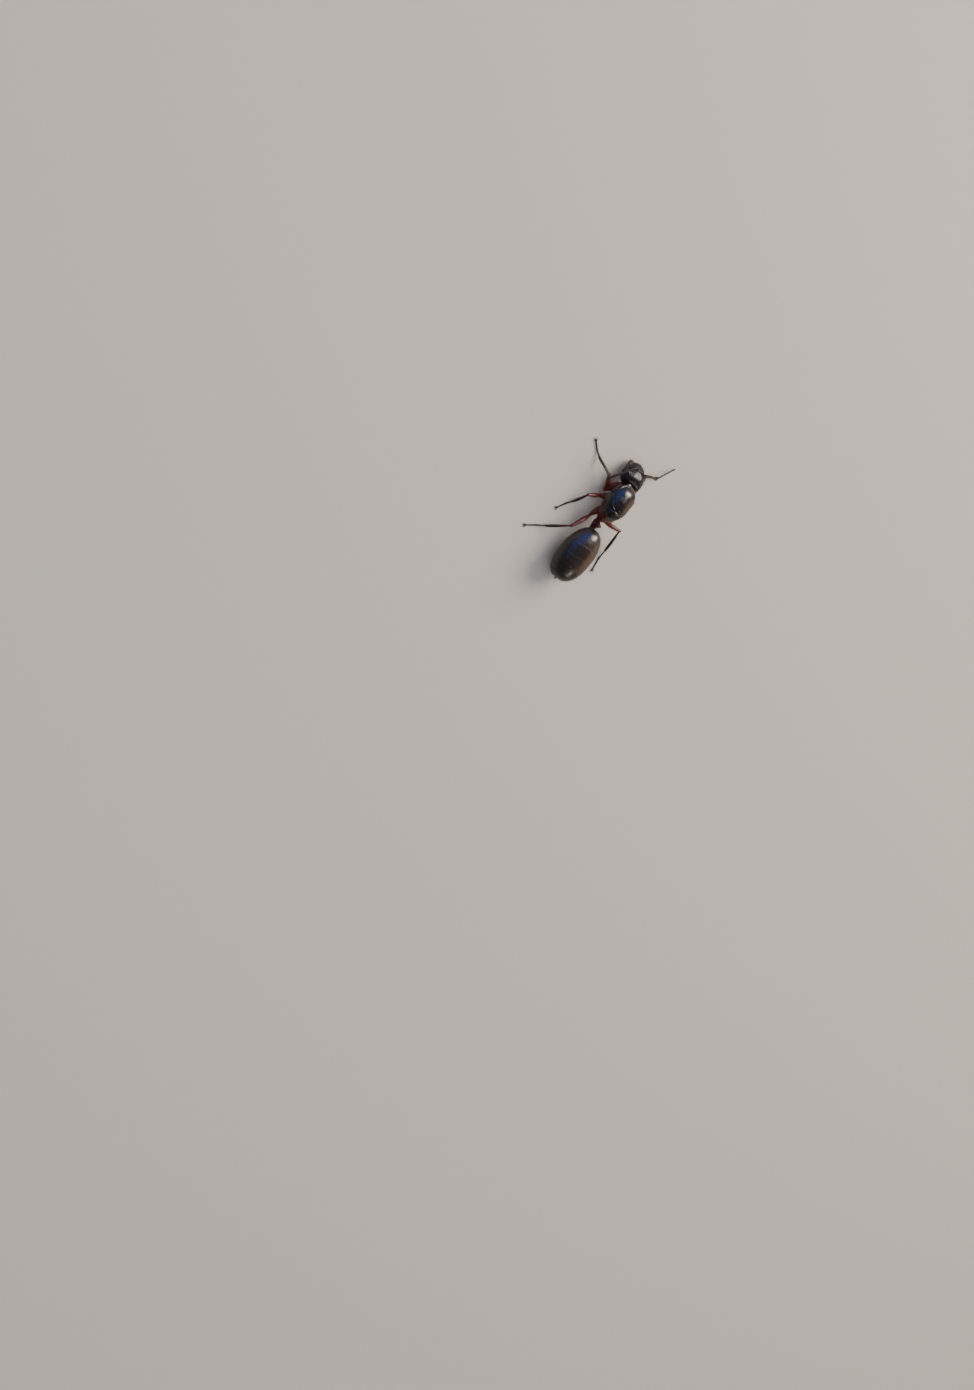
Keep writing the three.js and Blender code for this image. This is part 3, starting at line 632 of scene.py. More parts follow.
def head_relief(spots):
    """How far the skin of the head stands out. Each feature is its height, or its depth below 0,
    times a mound over the distance from its line or spot, all in millimetres."""
    along, side, up = np.moveaxis(spots, -1, 0)
    aside = np.abs(side)
    face = swell(up, 0.05, 0.4)
    edge = clypeus_edge(along, aside)
    on_clypeus = swell(-edge, -0.08, 0.08) * face
    clypeus = on_clypeus * (0.05 + 0.07 * swell(along, 1.0, 1.5)) - 0.035 * mound(edge, 0.07) * face
    keel = 0.05 * mound(side, 0.1) * on_clypeus
    ridge_at = 0.3 + 0.28 * swell(0.6 - along, 0, 1.1)
    ridge_here = swell(along, -0.75, -0.1) * swell(0.75 - along, 0, 0.35) * face
    ridges = 0.06 * mound(aside - ridge_at, 0.1) * ridge_here
    pit = from_spot(spots, (SOCKET[0], SOCKET[1] + 0.06, 1.0))
    sockets = -0.13 * mound(pit, 0.17) + 0.035 * mound(pit - 0.25, 0.06)
    parting = -0.01 * mound(side, 0.035) * swell(along, -0.95, -0.8) * swell(0.5 - along, 0, 0.2) * face
    throat = -0.05 * mound(side, 0.06) * swell(-up, 0.3, 0.6) * swell(0.9 - along, 0, 0.3)
    to_eye = np.linalg.norm((np.stack([along, aside, up], -1) - EYE_AT) / EYE_HALF, axis=-1)
    orbit = 0.02 * mound(to_eye - 1.27, 0.09) - 0.05 * mound(to_eye - 1.03, 0.09)
    rings = sum(-0.008 * mound(np.hypot(along - x, side - y) - 0.12, 0.03) for x, y in OCELLI) * face
    sculpture = clypeus + keel + ridges + sockets + parting + throat + orbit + rings
    return sculpture + 0.005 * uneven(spots, 0.9)


def head_skin(t, a):
    return set_in_head(raised(head_capsule, head_relief)(t, a))


def head():
    t, a = corners("head")
    local = head_capsule(t, a)
    to_mouth = swell(local[..., 0], -0.2, 1.3)
    cheeks = swell(0.5 - local[..., 2], 0, 0.5)
    tone = 0.7 * np.maximum(to_mouth, cheeks)
    piece("head_capsule", [(head_skin(t, a), tone)], HEAD_LOOK, ["head"])


def ocelli():
    beads = [egg((along, side, face_up(along, side) - OCELLUS_SUNK), OCELLUS_HALF, set_in_head)
             for along, side in OCELLI]
    piece("ocelli", [(grid_of(bead, "ocellus"), 0.5) for bead in beads], OCELLUS_LOOK)


def eye(side, hand):
    """A faceted eye: every corner of a geodesic ball is the crown of a small domed lens."""
    lenses = bmesh.new()
    bmesh.ops.create_icosphere(lenses, subdivisions=LENS_BALL, radius=1)
    crowns = KDTree(len(lenses.verts))
    for i, vertex in enumerate(lenses.verts):
        crowns.insert(vertex.co, i)
    crowns.balance()
    bmesh.ops.subdivide_edges(lenses, edges=lenses.edges, cuts=LENS_CUTS, use_grid_fill=True)
    spots = np.array([vertex.co.normalized() for vertex in lenses.verts])
    from_crown = np.array([crowns.find(spot)[2] for spot in spots])
    spots *= 1 - LENS_SAG * np.minimum(1, from_crown / LENS_HALF_WIDTH)[:, None] ** 2
    spots = np.array(EYE_AT) + spots * EYE_HALF
    spots[:, 1] *= hand
    for vertex, spot in zip(lenses.verts, in_frame(set_in_head(spots))):
        vertex.co = spot
    mesh = bpy.data.meshes.new(f"compound_eye_{side}")
    bmesh.ops.recalc_face_normals(lenses, faces=lenses.faces)
    lenses.to_mesh(mesh)
    lenses.free()
    finished(mesh.name, mesh, EYE_LOOK, [f"eye_{side}"])


def mandible(side, hand):
    """A strong blade that bends down from its root, with a round back and teeth along its inner
    edge. The left one closes over the right one."""
    radius = MANDIBLE["length"] / MANDIBLE["bend"]
    inmost, outer = MANDIBLE["inmost"], MANDIBLE["outer"]

    def blade(t, a):
        back = inmost + (outer - inmost) * np.sqrt(np.maximum(0, 1 - t**2.4))
        edge = inmost + MANDIBLE["root_inset"] * (1 - swell(t, 0, 0.42))
        teeth_from_tip = (1 - t) / TOOTH_SPACING
        notch = np.abs(2 * (teeth_from_tip - np.round(teeth_from_tip)))
        toothed = swell(TEETH - 0.5 - teeth_from_tip, 0, 0.5)
        notch_depth = np.minimum((0.07 + 0.1 * t) * toothed * notch**1.2, 0.8 * (back - edge))
        to_edge = (1 - np.cos(a)) / 2
        across = back + (edge - back) * to_edge + notch_depth * to_edge**5
        thick = MANDIBLE["half_thickness"] * np.sqrt(np.maximum(0, 1 - t**3)) * (0.6 + 0.4 * np.cos(a))
        angle = MANDIBLE["bend"] * t
        reach = radius + thick * np.sin(a)
        along = MANDIBLE["root"] + reach * np.sin(angle)
        up = MANDIBLE["up"] - radius + reach * np.cos(angle) + MANDIBLE["crossing"] * hand
        return set_in_head(np.stack([along, hand * across, up], -1))

    t, a = corners("mandible", even)
    worn = np.clip(0.2 + 0.5 * t + 0.5 * swell(-np.cos(a), 0.2, 1) * swell(t, 0.3, 0.5), 0, 1)
    piece(f"mandible_blade_{side}", [(blade(t, a), worn)], JAW_LOOK, [f"mandible_{side}"])


def mouthparts():
    """The lip under the clypeus, the tongue, and the jointed palps that hang behind the mandibles."""
    grids = [(grid_of(egg(*LIP, set_in_head), "lip"), 0.8),
             (grid_of(egg(*TONGUE, set_in_head), "lip"), 0.6)]
    for hand in (-1, 1):
        for aside, reach, joints in PALPS:
            drop = 0.35 * reach
            root = (1.05, hand * aside, -0.8)
            tip = (1.05 - drop, hand * (aside + 0.25 * reach), -0.85 - drop)
            palp = line(set_in_head(root), set_in_head(tip), 0.12)
            for j in range(joints):
                part = limb(part_of(palp, j / joints, (j + 0.9) / joints), PALP_RADII)
                grids.append((grid_of(part, "palp"), 0.75))
    piece("mouthparts", grids, HEAD_LOOK)


# ---- Antennae ----
def antenna_shaft(side, hand):
    """The long first joint, from its bulb in the face to the elbow."""
    route = ANTENNAE[side]
    inner = [set_in_head(flip(spot, hand)) for spot in (SOCKET, route["rise"], route["waist"])]
    stalk = [*inner, np.array(route["elbow"])]
    scape = limb(lambda t: through(stalk, t), SCAPE_RADII)
    bulb_at = flip((*SOCKET[:2], SOCKET[2] + BULB_RISE), hand)
    bulb = egg(bulb_at, [BULB_RADIUS] * 3, set_in_head)
    grids = [(grid_of(scape, "scape"), 0.72), (grid_of(bulb, "bulb"), 0.6)]
    piece(f"antenna_shaft_{side}", grids, LEG_LOOK, [f"scape_{side}"])
    return scape


def antenna_whip(side):
    """Short joints from the elbow to the tip, strung on a thin core."""
    route = ANTENNAE[side]
    knots = [np.array(route["elbow"]), *map(np.array, route["whip"])]

    def whip(t):
        return through(knots, t)

    beyond = np.arange(1, WHIP_JOINTS) / (WHIP_JOINTS - 1)
    edges = [0, FIRST_WHIP_JOINT, *(FIRST_WHIP_JOINT + (1 - FIRST_WHIP_JOINT) * beyond)]
    grids = []
    for j in range(WHIP_JOINTS):
        swollen = WHIP_RADIUS + WHIP_SWELLING * j / WHIP_JOINTS
        taper = TIP_TAPER if j == WHIP_JOINTS - 1 else BEAD_TAPER
        stretch = part_of(whip, edges[j] + WHIP_GAPS[0], edges[j + 1] - WHIP_GAPS[1])
        bead = limb(stretch, [swollen * share for share in taper])
        grids.append((grid_of(bead, "bead"), 0.75))
    core = limb(part_of(whip, 0.01, 0.94), WHIP_CORE_RADII)
    grids.append((grid_of(core, "whip_core"), 1))
    piece(f"antenna_whip_{side}", grids, LEG_LOOK, [f"funiculus_{side}"])
    return limb(whip, WHIP_SKIN_RADII)


# ---- Thorax ----
def thorax_body(t, a):
    fullness = blunt(t, THORAX_BLUNTNESS)
    top, floor = through(THORAX_TOPS, t), through(THORAX_FLOORS, t)
    half_height = (top - floor) / 2 * fullness
    half_width = THORAX_HALF_WIDTH * through(THORAX_WIDTHS, t) * fullness
    keel = 1 - BREAST_KEEL * np.maximum(0, -np.sin(a)) ** 2
    forward = THORAX_BACK + t * (THORAX_FRONT - THORAX_BACK)
    up = (top + floor) / 2 + half_height * np.sin(a)
    return np.stack([forward, half_width * keel * np.cos(a), up], -1)


def plate_edge(spots, plate):
    """Distance outside the edge of an oval plate, about in millimetres; below 0 on it."""
    centre, half_sizes = plate
    return (np.linalg.norm((spots - np.array(centre)) / half_sizes, axis=-1) - 1) * min(half_sizes)


def past_seam(spots, seam):
    """How far forward of a slanted suture each point lies."""
    at, slant = seam
    return spots[..., 0] - (at + slant * (spots[..., 2] - SEAM_UP))


def thorax_relief(spots):
    """How far the skin of the thorax stands out, as for the head."""
    forward, left, up = np.moveaxis(spots, -1, 0)
    aside = np.abs(left)
    scutum, scutellum = plate_edge(spots, SCUTUM), plate_edge(spots, SCUTELLUM)
    off_scutum = swell(scutum, 0, 0.1)
    relief = PLATE_RISE * swell(-scutum, -0.03, 0.05) - 0.07 * mound(scutum - 0.05, 0.04)
    shield = 0.09 * swell(-scutellum, -0.04, 0.08) - 0.07 * mound(scutellum - 0.06, 0.045)
    relief += off_scutum * shield
    off_plates = off_scutum * swell(scutellum, 0, 0.1)
    collar, waist = past_seam(spots, COLLAR_SEAM), past_seam(spots, WAIST_SEAM)
    for seam in (collar, waist):
        relief -= off_plates * SUTURE_DEPTH * mound(seam, SUTURE_WIDTH)
    on_side = swell(aside, 0.7, 1.0) * off_plates * swell(-collar, 0.02, 0.1) * swell(waist, 0.02, 0.1)
    relief -= on_side * 0.05 * mound(up - (2.55 + 0.16 * forward + 0.1 * np.sin(2 * forward)), 0.045)
    relief += on_side * 0.06 * mound(forward - 0.1, 0.8) * mound(up - 2.05, 0.45)
    parapsides = mound(aside - 0.62, 0.03) * swell(forward, -0.4, -0.2) * swell(1.0 - forward, 0, 0.2)
    midline = mound(left, 0.03) * swell(forward, 1.2, 1.5)
    relief -= 0.014 * (parapsides + midline) * swell(-scutum, 0.05, 0.15)
    hole = from_spot(spots, SPIRACLE)
    relief += 0.04 * mound(hole - 0.14, 0.045) - 0.09 * mound(hole, 0.07)
    bulge = from_spot(spots, GLAND_BULGE)
    relief += 0.07 * mound(bulge, 0.32) - 0.05 * mound(bulge - 0.36, 0.05) * swell(-forward, 1.9, 2.1)
    return relief + 0.009 * uneven(spots, 0.8)


thorax_skin = raised(thorax_body, thorax_relief)


def thorax():
    t, a = corners("thorax")
    spots = thorax_body(t, a)
    forward, _, up = np.moveaxis(spots, -1, 0)
    darkness = swell(up - (3.15 - 0.3 * forward), -0.7, 0.35)  # above a line that falls forwards
    on_plates = np.maximum(swell(-plate_edge(spots, SCUTUM), -0.05, 0.05),
                           swell(-plate_edge(spots, SCUTELLUM), -0.05, 0.05))
    collar = swell(past_seam(spots, COLLAR_SEAM), 0, 0.15) * (1 - on_plates)
    tone = np.maximum(darkness * (1 - 0.5 * collar), on_plates)
    nodes = ["pronotum", "mesoscutum", "scutellum", "mesothorax", "propodeum"]
    piece("thorax_shell", [(thorax_skin(t, a), tone)], THORAX_LOOK, nodes)


def wing_scars():
    """The stubs that the shed wings left: a raised rim round a rough hollow, and its small scale."""
    t, a = corners("wing_stub", even)
    out = through([-0.25, 0.12, 0.2, 0.19, 0.1, 0.05], t)
    out = out - 0.02 + 0.02 * np.sin(5 * a) * t * (1 - t) * 4
    spread = through([0.5, 1.0, 0.95, 0.72, 0.42, 0.0], t) * (1 + 0.07 * np.sin(3 * a) * t)
    for side, hand in SIDES.items():
        grids = []
        for forward, left, up in WING_SCARS:
            stub = np.stack([forward + STUB_HALF[0] * spread * np.cos(a), hand * (left + out),
                             up + STUB_HALF[1] * spread * np.sin(a)], -1)
            grids.append((stub, 0.35 + 0.3 * t))
            scale_at = np.array([forward, left, up]) + WING_SCALE_AT
            scale = egg(flip(scale_at, hand), WING_SCALE_HALF)
            grids.append((grid_of(scale, "wing_scale"), 0.9))
        piece(f"wing_scars_{side}", grids, THORAX_LOOK)


def neck():
    """The black collar in which the head turns, and the two plates under it that carry the fore hips."""
    rod = limb(line(set_in_head(NECK[0]), NECK[1]), NECK_RADII)
    grids = [(grid_of(rod, "neck"), 0.75)]
    centre, half_sizes = HIP_PLATE
    for hand in (-1, 1):
        grids.append((grid_of(egg(flip(centre, hand), half_sizes), "neck"), 0.4))
    piece("neck_plates", grids, THORAX_LOOK)


# ---- Waist ----
def petiole_body(t, a):
    forward = PETIOLE["front"] + (PETIOLE["back"] - PETIOLE["front"]) * t
    from_scale = forward - PETIOLE["scale"]
    peak = mound(from_scale, 0.27)
    ends = blunt(t, 8)
    top = PETIOLE["stalk_top"] + (PETIOLE["top"] - PETIOLE["stalk_top"]) * peak
    floor = PETIOLE["floor"] + 0.08 * mound(from_scale, 0.3)
    widening = PETIOLE["scale_half_width"] - PETIOLE["half_width"]
    half_width = (PETIOLE["half_width"] + widening * mound(from_scale, 0.36)) * ends
    shoulder = 1 - 0.25 * peak * np.maximum(0, np.sin(a)) ** 2
    up = (top + floor) / 2 + (top - floor) / 2 * ends * np.sin(a)
    return np.stack([forward, half_width * shoulder * np.cos(a), up], -1)


def petiole():
    """The stalk between thorax and gaster, with an upright scale whose crest is thin and round."""
    skin = raised(petiole_body, lambda spots: 0.007 * uneven(spots, 0.5))
    spots = grid_of(skin, "petiole")
    tone = 0.1 + 0.25 * swell(spots[..., 2], 2.2, 3)
    piece("petiole_scale", [(spots, tone)], THORAX_LOOK, ["petiole"])


# ---- Gaster ----
def gaster_body(t, a):
    fullness = blunt(t, GASTER_BLUNTNESS)
    up = np.sin(a)
    half_width = GASTER_HALF_WIDTH * through(GASTER_WIDTHS, t) * fullness
    half_height = GASTER_HALF_HEIGHT * np.where(up > 0, 1, BELLY_SHARE) * fullness
    middle = GASTER_UP - GASTER_DROOP * t - 0.15 * (1 - fullness)
    return np.stack([GASTER_FRONT - t * GASTER_LENGTH, half_width * np.cos(a),
                     middle + half_height * up], -1)


def gaster_plate(start, end, low, high, sunk, proud, mesh):
    """A thin curved plate of the gaster between two angles, sunk at the front and proud at the
    back, and its tone, which is palest on the rim."""
    start, end = max(start, 0.0), min(end, 1.0)
    along, around = (crowded(steps) for steps in mesh)
    t, a = np.meshgrid(start + (end - start) * along, low + (high - low) * around, indexing="ij")
    within = (t - start) / (end - start)
    lift = -sunk + (proud + sunk) * swell(within, 0, 0.35)
    outward = normals(gaster_body, t, a)
    spots = gaster_body(t, a)
    outer = spots + outward * (lift + 0.006 * uneven(spots, 0.7))[..., None]
    to_ends = np.minimum(t - start, end - t) * GASTER_LENGTH
    to_sides = np.minimum(a - low, high - a) * GASTER_HALF_HEIGHT
    inset = np.clip(np.minimum(to_ends, to_sides) / PLATE_ROUNDING, 0, 1)
    thickness = PLATE_THICKNESS * np.sqrt(1 - (1 - inset) ** 2)
    outer -= outward * (PLATE_THICKNESS - thickness)[..., None] / 2
    inner = outer - outward * thickness[..., None]
    rim = swell(1 - (end - t) * GASTER_LENGTH / RIM_WIDTH, 0, 1)
    front = swell(0.1 - t, 0, 0.1)
    tone = np.maximum(np.maximum(0.16, 0.62 * rim), 0.5 * front)
    grid = np.concatenate([outer, inner[:, ::-1]], axis=1)
    return grid, np.concatenate([tone, tone[:, ::-1]], axis=1)


def gaster():
    """Five back plates and five belly plates, each tucked under the one before it, over a membrane."""
    last = len(GASTER_SEAMS) - 2
    for i, (start, end) in enumerate(zip(GASTER_SEAMS, GASTER_SEAMS[1:])):
        start -= PLATE_TUCKED if i else 0
        end += PLATE_LIP if i < last else 0
        sunk = PLATE_SUNK if i else 0.0
        back = gaster_plate(start, end, -BACK_WRAP, math.pi + BACK_WRAP, sunk, PLATE_PROUD,
                            MESH["back_plate"])
        piece(f"gaster_back_plate_{i + 1}", [back], GASTER_LOOK, [f"gaster_{i + 1}"])
        belly = gaster_plate(start, end, math.pi + BELLY_INSET, FULL_TURN - BELLY_INSET,
                             sunk + BELLY_DEEPER, BELLY_PROUD, MESH["belly_plate"])
        piece(f"gaster_belly_plate_{i + 1}", [belly], GASTER_LOOK)
    core = raised(gaster_body, lambda spots: np.full(spots.shape[:-1], -MEMBRANE_DEPTH))
    piece("gaster_membrane", [(grid_of(core, "membrane"), 0.4)], MEMBRANE_LOOK)


def acid_nozzle():
    tip = GASTER_FRONT - GASTER_LENGTH
    low = GASTER_UP - GASTER_DROOP
    nozzle = limb(line((tip + 0.5, 0, low - 0.25), (tip - 0.06, 0, low - 0.32)), NOZZLE_RADII)
    piece("acid_nozzle", [(grid_of(nozzle, "nozzle"), 0.35)], GASTER_LOOK)
    return nozzle


# ---- Legs ----
def thigh(name, trochanter, knee):
    """The small knob of the trochanter and the swollen thigh beyond it, darker towards the knee."""
    thigh_line = line(trochanter, knee, THIGH_BOW)
    knob = limb(part_of(thigh_line, 0, KNOB_SHARE), KNOB_RADII)
    femur = limb(part_of(thigh_line, KNOB_SHARE, 1), FEMUR_RADII, THIGH_WIDE)
    grid = grid_of(femur, "thigh")
    dusk = 0.12 + 0.3 * np.linspace(0, 1, len(grid))[:, None] ** 3
    grids = [(grid_of(knob, "knob"), 0.15), (grid, dusk)]
    piece(f"thigh_{name}", grids, LEG_LOOK, [f"femur_{name}"])
    return femur


def shin(name, knee, ankle):
    """A slim shin that darkens downwards, with a spur on the inside of the ankle."""
    tibia = limb(line(knee, ankle, SHIN_BOW), TIBIA_RADII, SHIN_WIDE)
    grid = grid_of(tibia, "shin")
    dark = 0.45 + 0.35 * np.linspace(0, 1, len(grid))[:, None]
    down = unit(ankle - knee)
    inward = unit(np.cross(down, [0, 0, 1])) * (1 if name.endswith("left") else -1)
    spur_root = ankle - 0.1 * down + 0.1 * inward
    spur_tip = spur_root + 0.42 * down + 0.16 * inward
    spur_tip[2] = max(spur_tip[2], 0.06)
    spur = limb(line(spur_root, spur_tip, 0.03), SPUR_RADII)
    grids = [(grid, dark), (grid_of(spur, "spur"), 0.5)]
    piece(f"shin_{name}", grids, LEG_LOOK, [f"tibia_{name}"])
    return tibia


def foot(name, ankle, toe):
    """Five joints that come down from the ankle and lie along the floor, and the claws."""
    landing = ankle + 0.45 * (toe - ankle)
    landing[2] = FOOT_RADIUS + 0.02
    middle = ankle + 0.72 * (toe - ankle)
    middle[2] = FOOT_RADIUS

    def sole(t):
        spots = through([ankle, landing, middle, toe], t)
        spots[..., 2] = np.maximum(spots[..., 2], FOOT_RADIUS)
        return spots

    grids = []
    for j, (start, end) in enumerate(zip(TARSUS_JOINTS, TARSUS_JOINTS[1:])):
        size = FOOT_RADIUS * (1 - 0.05 * j)
        stretch = part_of(sole, start + TARSUS_GAPS[0], end - TARSUS_GAPS[1])
        joint = limb(stretch, [size * share for share in TARSUS_TAPER])
        grids.append((grid_of(joint, "tarsus"), 0.78))
    heading = toe - ankle
    heading[2] = 0
    grids += claw_pair(toe, unit(heading))
    piece(f"foot_{name}", grids, LEG_LOOK, [f"tarsus_{name}"])
    return limb(sole, FOOT_SKIN_RADII)


def claw_pair(toe, heading):
    """Two curved claws that part at the toe, with a soft pad between them."""
    across = unit(np.cross([0, 0, 1], heading))
    grids = []
    for hand in (-1, 1):
        curve = [toe - 0.05 * heading]
        for ahead, aside, up in CLAW_CURVE:
            spot = toe + ahead * heading + hand * aside * across
            spot[2] = up
            curve.append(spot)
        claw = limb(lambda t, curve=curve: through(curve, t), CLAW_RADII)
        grids.append((grid_of(claw, "claw"), 0.55))
    pad_end = toe + PAD_REACH * heading
    pad_end[2] = PAD_UP
    grids.append((grid_of(limb(line(toe, pad_end), PAD_RADII), "pad"), 0.9))
    return grids


def leg(name, joints):
    """One leg from hip to claws, and the limbs that carry its bristles."""
    hip, trochanter, knee, ankle = (np.array(spot, float) for spot in joints[:4])
    toe = np.array([*joints[4], FOOT_RADIUS])
    coxa = limb(line(hip, trochanter), COXA_FORE_RADII if name.startswith("fore") else COXA_RADII)
    grids = [(grid_of(coxa, "hip"), 0.12)]
    piece(f"hip_{name}", grids, LEG_LOOK, [f"coxa_{name}"])
    return {"thigh": thigh(name, trochanter, knee), "shin": shin(name, knee, ankle),
            "foot": foot(name, ankle, toe)}


# ---- Setae ----
def lie_along(shape, t, a):
    """Which way a shape runs at a spot, from its start to its end."""
    step = 1e-3
    return shape(np.minimum(t + step, 1), a) - shape(np.maximum(t - step, 0), a)


def scatter(shape, count, t_range, a_range, seed):
    """Seeded spots spread evenly over part of a shape, as t and a."""
    draw = np.random.default_rng(SEED + seed)
    tries = 6 * count  # a spot is kept as often as its share of the surface is large
    t, a = draw.uniform(*t_range, tries), draw.uniform(*a_range, tries)
    step = 1e-3
    around = shape(t, a + step) - shape(t, a - step)
    area = np.linalg.norm(np.cross(lie_along(shape, t, a), around), axis=-1)
    kept = draw.uniform(0, np.quantile(area, 0.98), tries) < area
    return t[kept][:count], a[kept][:count]


def tuft(shape, t, a, kind, towards, seed, tile=(0, 0, 1), rings=4):
    """Hairs rooted at spots of a shape: they lean from its normal towards its end or its start,
    bend over as they rise and taper to a point. tile says which part of the coat's map they hold."""
    length, radius, lean = HAIRS[kind]
    draw = np.random.default_rng(SEED + seed)
    count = len(t)
    upright = normals(shape, t, a)
    lie = lie_along(shape, t, a)
    lie = unit(lie - upright * np.sum(lie * upright, -1, keepdims=True)) * towards
    astray = np.cross(upright, lie) * draw.normal(0, HAIR_ASTRAY, (count, 1))
    lie = unit(lie + astray)
    waver = HAIR_WAVER * draw.normal(size=(count, 3))
    rise = unit(upright * (1 - lean) + lie * lean + waver)
    length = length * draw.uniform(*HAIR_LENGTHS, count)
    roots = shape(t, a) - upright * HAIR_SUNK
    share = np.linspace(0, 1, rings + 1)
    grown = share[None, :, None] * rise[:, None] + HAIR_BEND * share[None, :, None] ** 2 * lie[:, None]
    centres = roots[:, None] + length[:, None, None] * grown
    centres[..., 2] = np.maximum(centres[..., 2], LOWEST_HAIR)
    side = unit(np.cross(rise, upright) + 1e-6)
    lift = np.cross(side, rise)
    turn = FULL_TURN * np.arange(3) / 3
    ring = np.cos(turn)[:, None] * side[:, None] + np.sin(turn)[:, None] * lift[:, None]
    girth = radius * (1 - 0.85 * share[:-1] ** 1.5)
    body = centres[:, :-1, None] + girth[None, :, None, None] * ring[:, None]
    points = np.concatenate([body.reshape(count, -1, 3), centres[:, -1:]], axis=1)

    column, row, tiles = tile
    home = np.stack([(column + (a / FULL_TURN) % 1) / tiles, (row + t) / tiles], -1)
    patch = BAKE_PATCH * np.stack([np.cos(turn), np.sin(turn)], -1)
    spread = home[:, None, None] + patch[None, None] * (1 - share[:-1])[None, :, None, None]
    uvs = np.concatenate([spread.reshape(count, -1, 2), home[:, None]], axis=1)
    tone = np.clip(draw.normal(0.5, 0.25, count), 0, 1)
    return {"points": points, "uvs": uvs, "rings": rings, "tone": tone}


def hair_faces(rings):
    """Triangles of one three-sided hair with a closed root and a pointed tip."""
    faces = [[2, 1, 0]]
    for r in range(rings - 1):
        for k in range(3):
            low, next_low = 3 * r + k, 3 * r + (k + 1) % 3
            faces += [[low, next_low, next_low + 3], [low, next_low + 3, low + 3]]
    top = 3 * rings - 3
    return faces + [[top + k, top + (k + 1) % 3, top + 3] for k in range(3)]


def coat(name, tufts):
    """One piece of coat from its tufts."""
    points, uvs, faces, tones, first = [], [], [], [], 0
    for hairs in tufts:
        count, size = hairs["points"].shape[:2]
        starts = first + size * np.arange(count)
        one = np.array(hair_faces(hairs["rings"]))
        faces.append((one[None] + starts[:, None, None]).reshape(-1, 3))
        points.append(in_frame(hairs["points"]).reshape(-1, 3))
        uvs.append(hairs["uvs"].reshape(-1, 2))
        tones.append(np.repeat(hairs["tone"], size))
        first += count * size
    mesh = mesh_of(name, points, faces, tones)
    corner = np.empty(len(mesh.loops), np.int32)
    mesh.loops.foreach_get("vertex_index", corner)
    layer = mesh.uv_layers.new(name="OFBake")
    layer.data.foreach_set("uv", np.concatenate(uvs)[corner].astype(np.float32).ravel())
    finished(name, mesh, SETA_LOOK)


def strewn(shape, kind, count, t_range, a_range, towards, seed, **more):
    """Hairs of one kind, spread over part of a shape."""
    return tuft(shape, *scatter(shape, count, t_range, a_range, seed), kind, towards, seed + 1, **more)


def head_coat():
    """A few long hairs on the back of the head and over the mouth, and a fine flat down all over."""
    back, whole = (0.2, math.pi - 0.2), (0, FULL_TURN)
    coat("head_setae", [
        strewn(head_skin, "head", 70, (0.08, 0.95), back, 1, 1),
        strewn(head_skin, "fringe", 26, (0.965, 0.985), (0.75, 2.4), 1, 3),
        strewn(head_skin, "head_down", 900, (0.05, 0.97), whole, 1, 5, rings=2),
    ])


def thorax_coat():
    """Upright hairs on the back that lean towards the waist, and a fine flat down."""
    back, whole = (0.25, math.pi - 0.25), (0, FULL_TURN)
    coat("thorax_setae", [
        strewn(thorax_skin, "thorax", 120, (0.06, 0.94), back, -1, 11),
        strewn(thorax_skin, "thorax_down", 1500, (0.03, 0.97), whole, -1, 13, rings=2),
    ])


def gaster_coat(nozzle):
    """Two cross rows of long hairs on every plate, a fine flat down, and a fringe round the nozzle."""
    draw = np.random.default_rng(SEED + 20)
    tufts = []
    for start, end in zip(GASTER_SEAMS, GASTER_SEAMS[1:]):
        for share, count in ((0.45, 14), (0.93, 24)):
            t = start + (end - start) * (share + draw.uniform(-0.05, 0.03, count))
            t = np.minimum(t, 0.975)
            a = np.linspace(-0.2, math.pi + 0.2, count) + draw.normal(0, 0.05, count)
            tufts.append(tuft(gaster_body, t, a, "back_row", 1, 21 + count))
            a = np.linspace(math.pi + 0.3, FULL_TURN - 0.3, count // 2)
            tufts.append(tuft(gaster_body, t[:count // 2], a, "belly_row", 1, 22 + count))
    tufts.append(strewn(gaster_body, "gaster_down", 5200, (0.02, 0.98), (0, FULL_TURN), 1, 25, rings=2))
    ring = np.linspace(0, FULL_TURN, 26, endpoint=False)
    tufts.append(tuft(nozzle, np.full_like(ring, 0.86), ring, "nozzle", 1, 27))
    coat("gaster_setae", tufts)


def limb_coat(name, limbs):
    """Short bristles down the limbs, closest on the feet and the whips of the antennae."""
    tiles = math.ceil(math.sqrt(len(limbs)))
    tufts = []
    for i, (kind, shape) in enumerate(limbs):
        spots = scatter(shape, LIMB_HAIRS[kind], (0.05, 0.95), (0, FULL_TURN), 40 + i)
        tile = (i % tiles, i // tiles, tiles)
        tufts.append(tuft(shape, *spots, kind, 1, 80 + i, tile, rings=3))
    coat(name, tufts)


# ---- Stage ----
LOOK_BACK = Vector((0.487, 0.073, 0.866)).normalized()  # from the ant to the camera
HEADING = Vector((0.60, 0.80))  # where her head points in the picture, right and up
LENS = 50.0
PICTURE = (974, 1390)  # in pixels
ANT_AT = (617, 502)  # where the middle of her thorax lies in the picture
PIXELS_PER_MM = 8.3
THORAX_MIDDLE = (0.0, 0.0, 2.9)
LIT_SPOT = (-2.0, 0.0, 2.5)  # what the lights face
FLOOR_HALF = 3  # metres
DAYLIGHT, DAYLIGHT_STRENGTH = "#d9dde2", 0.22


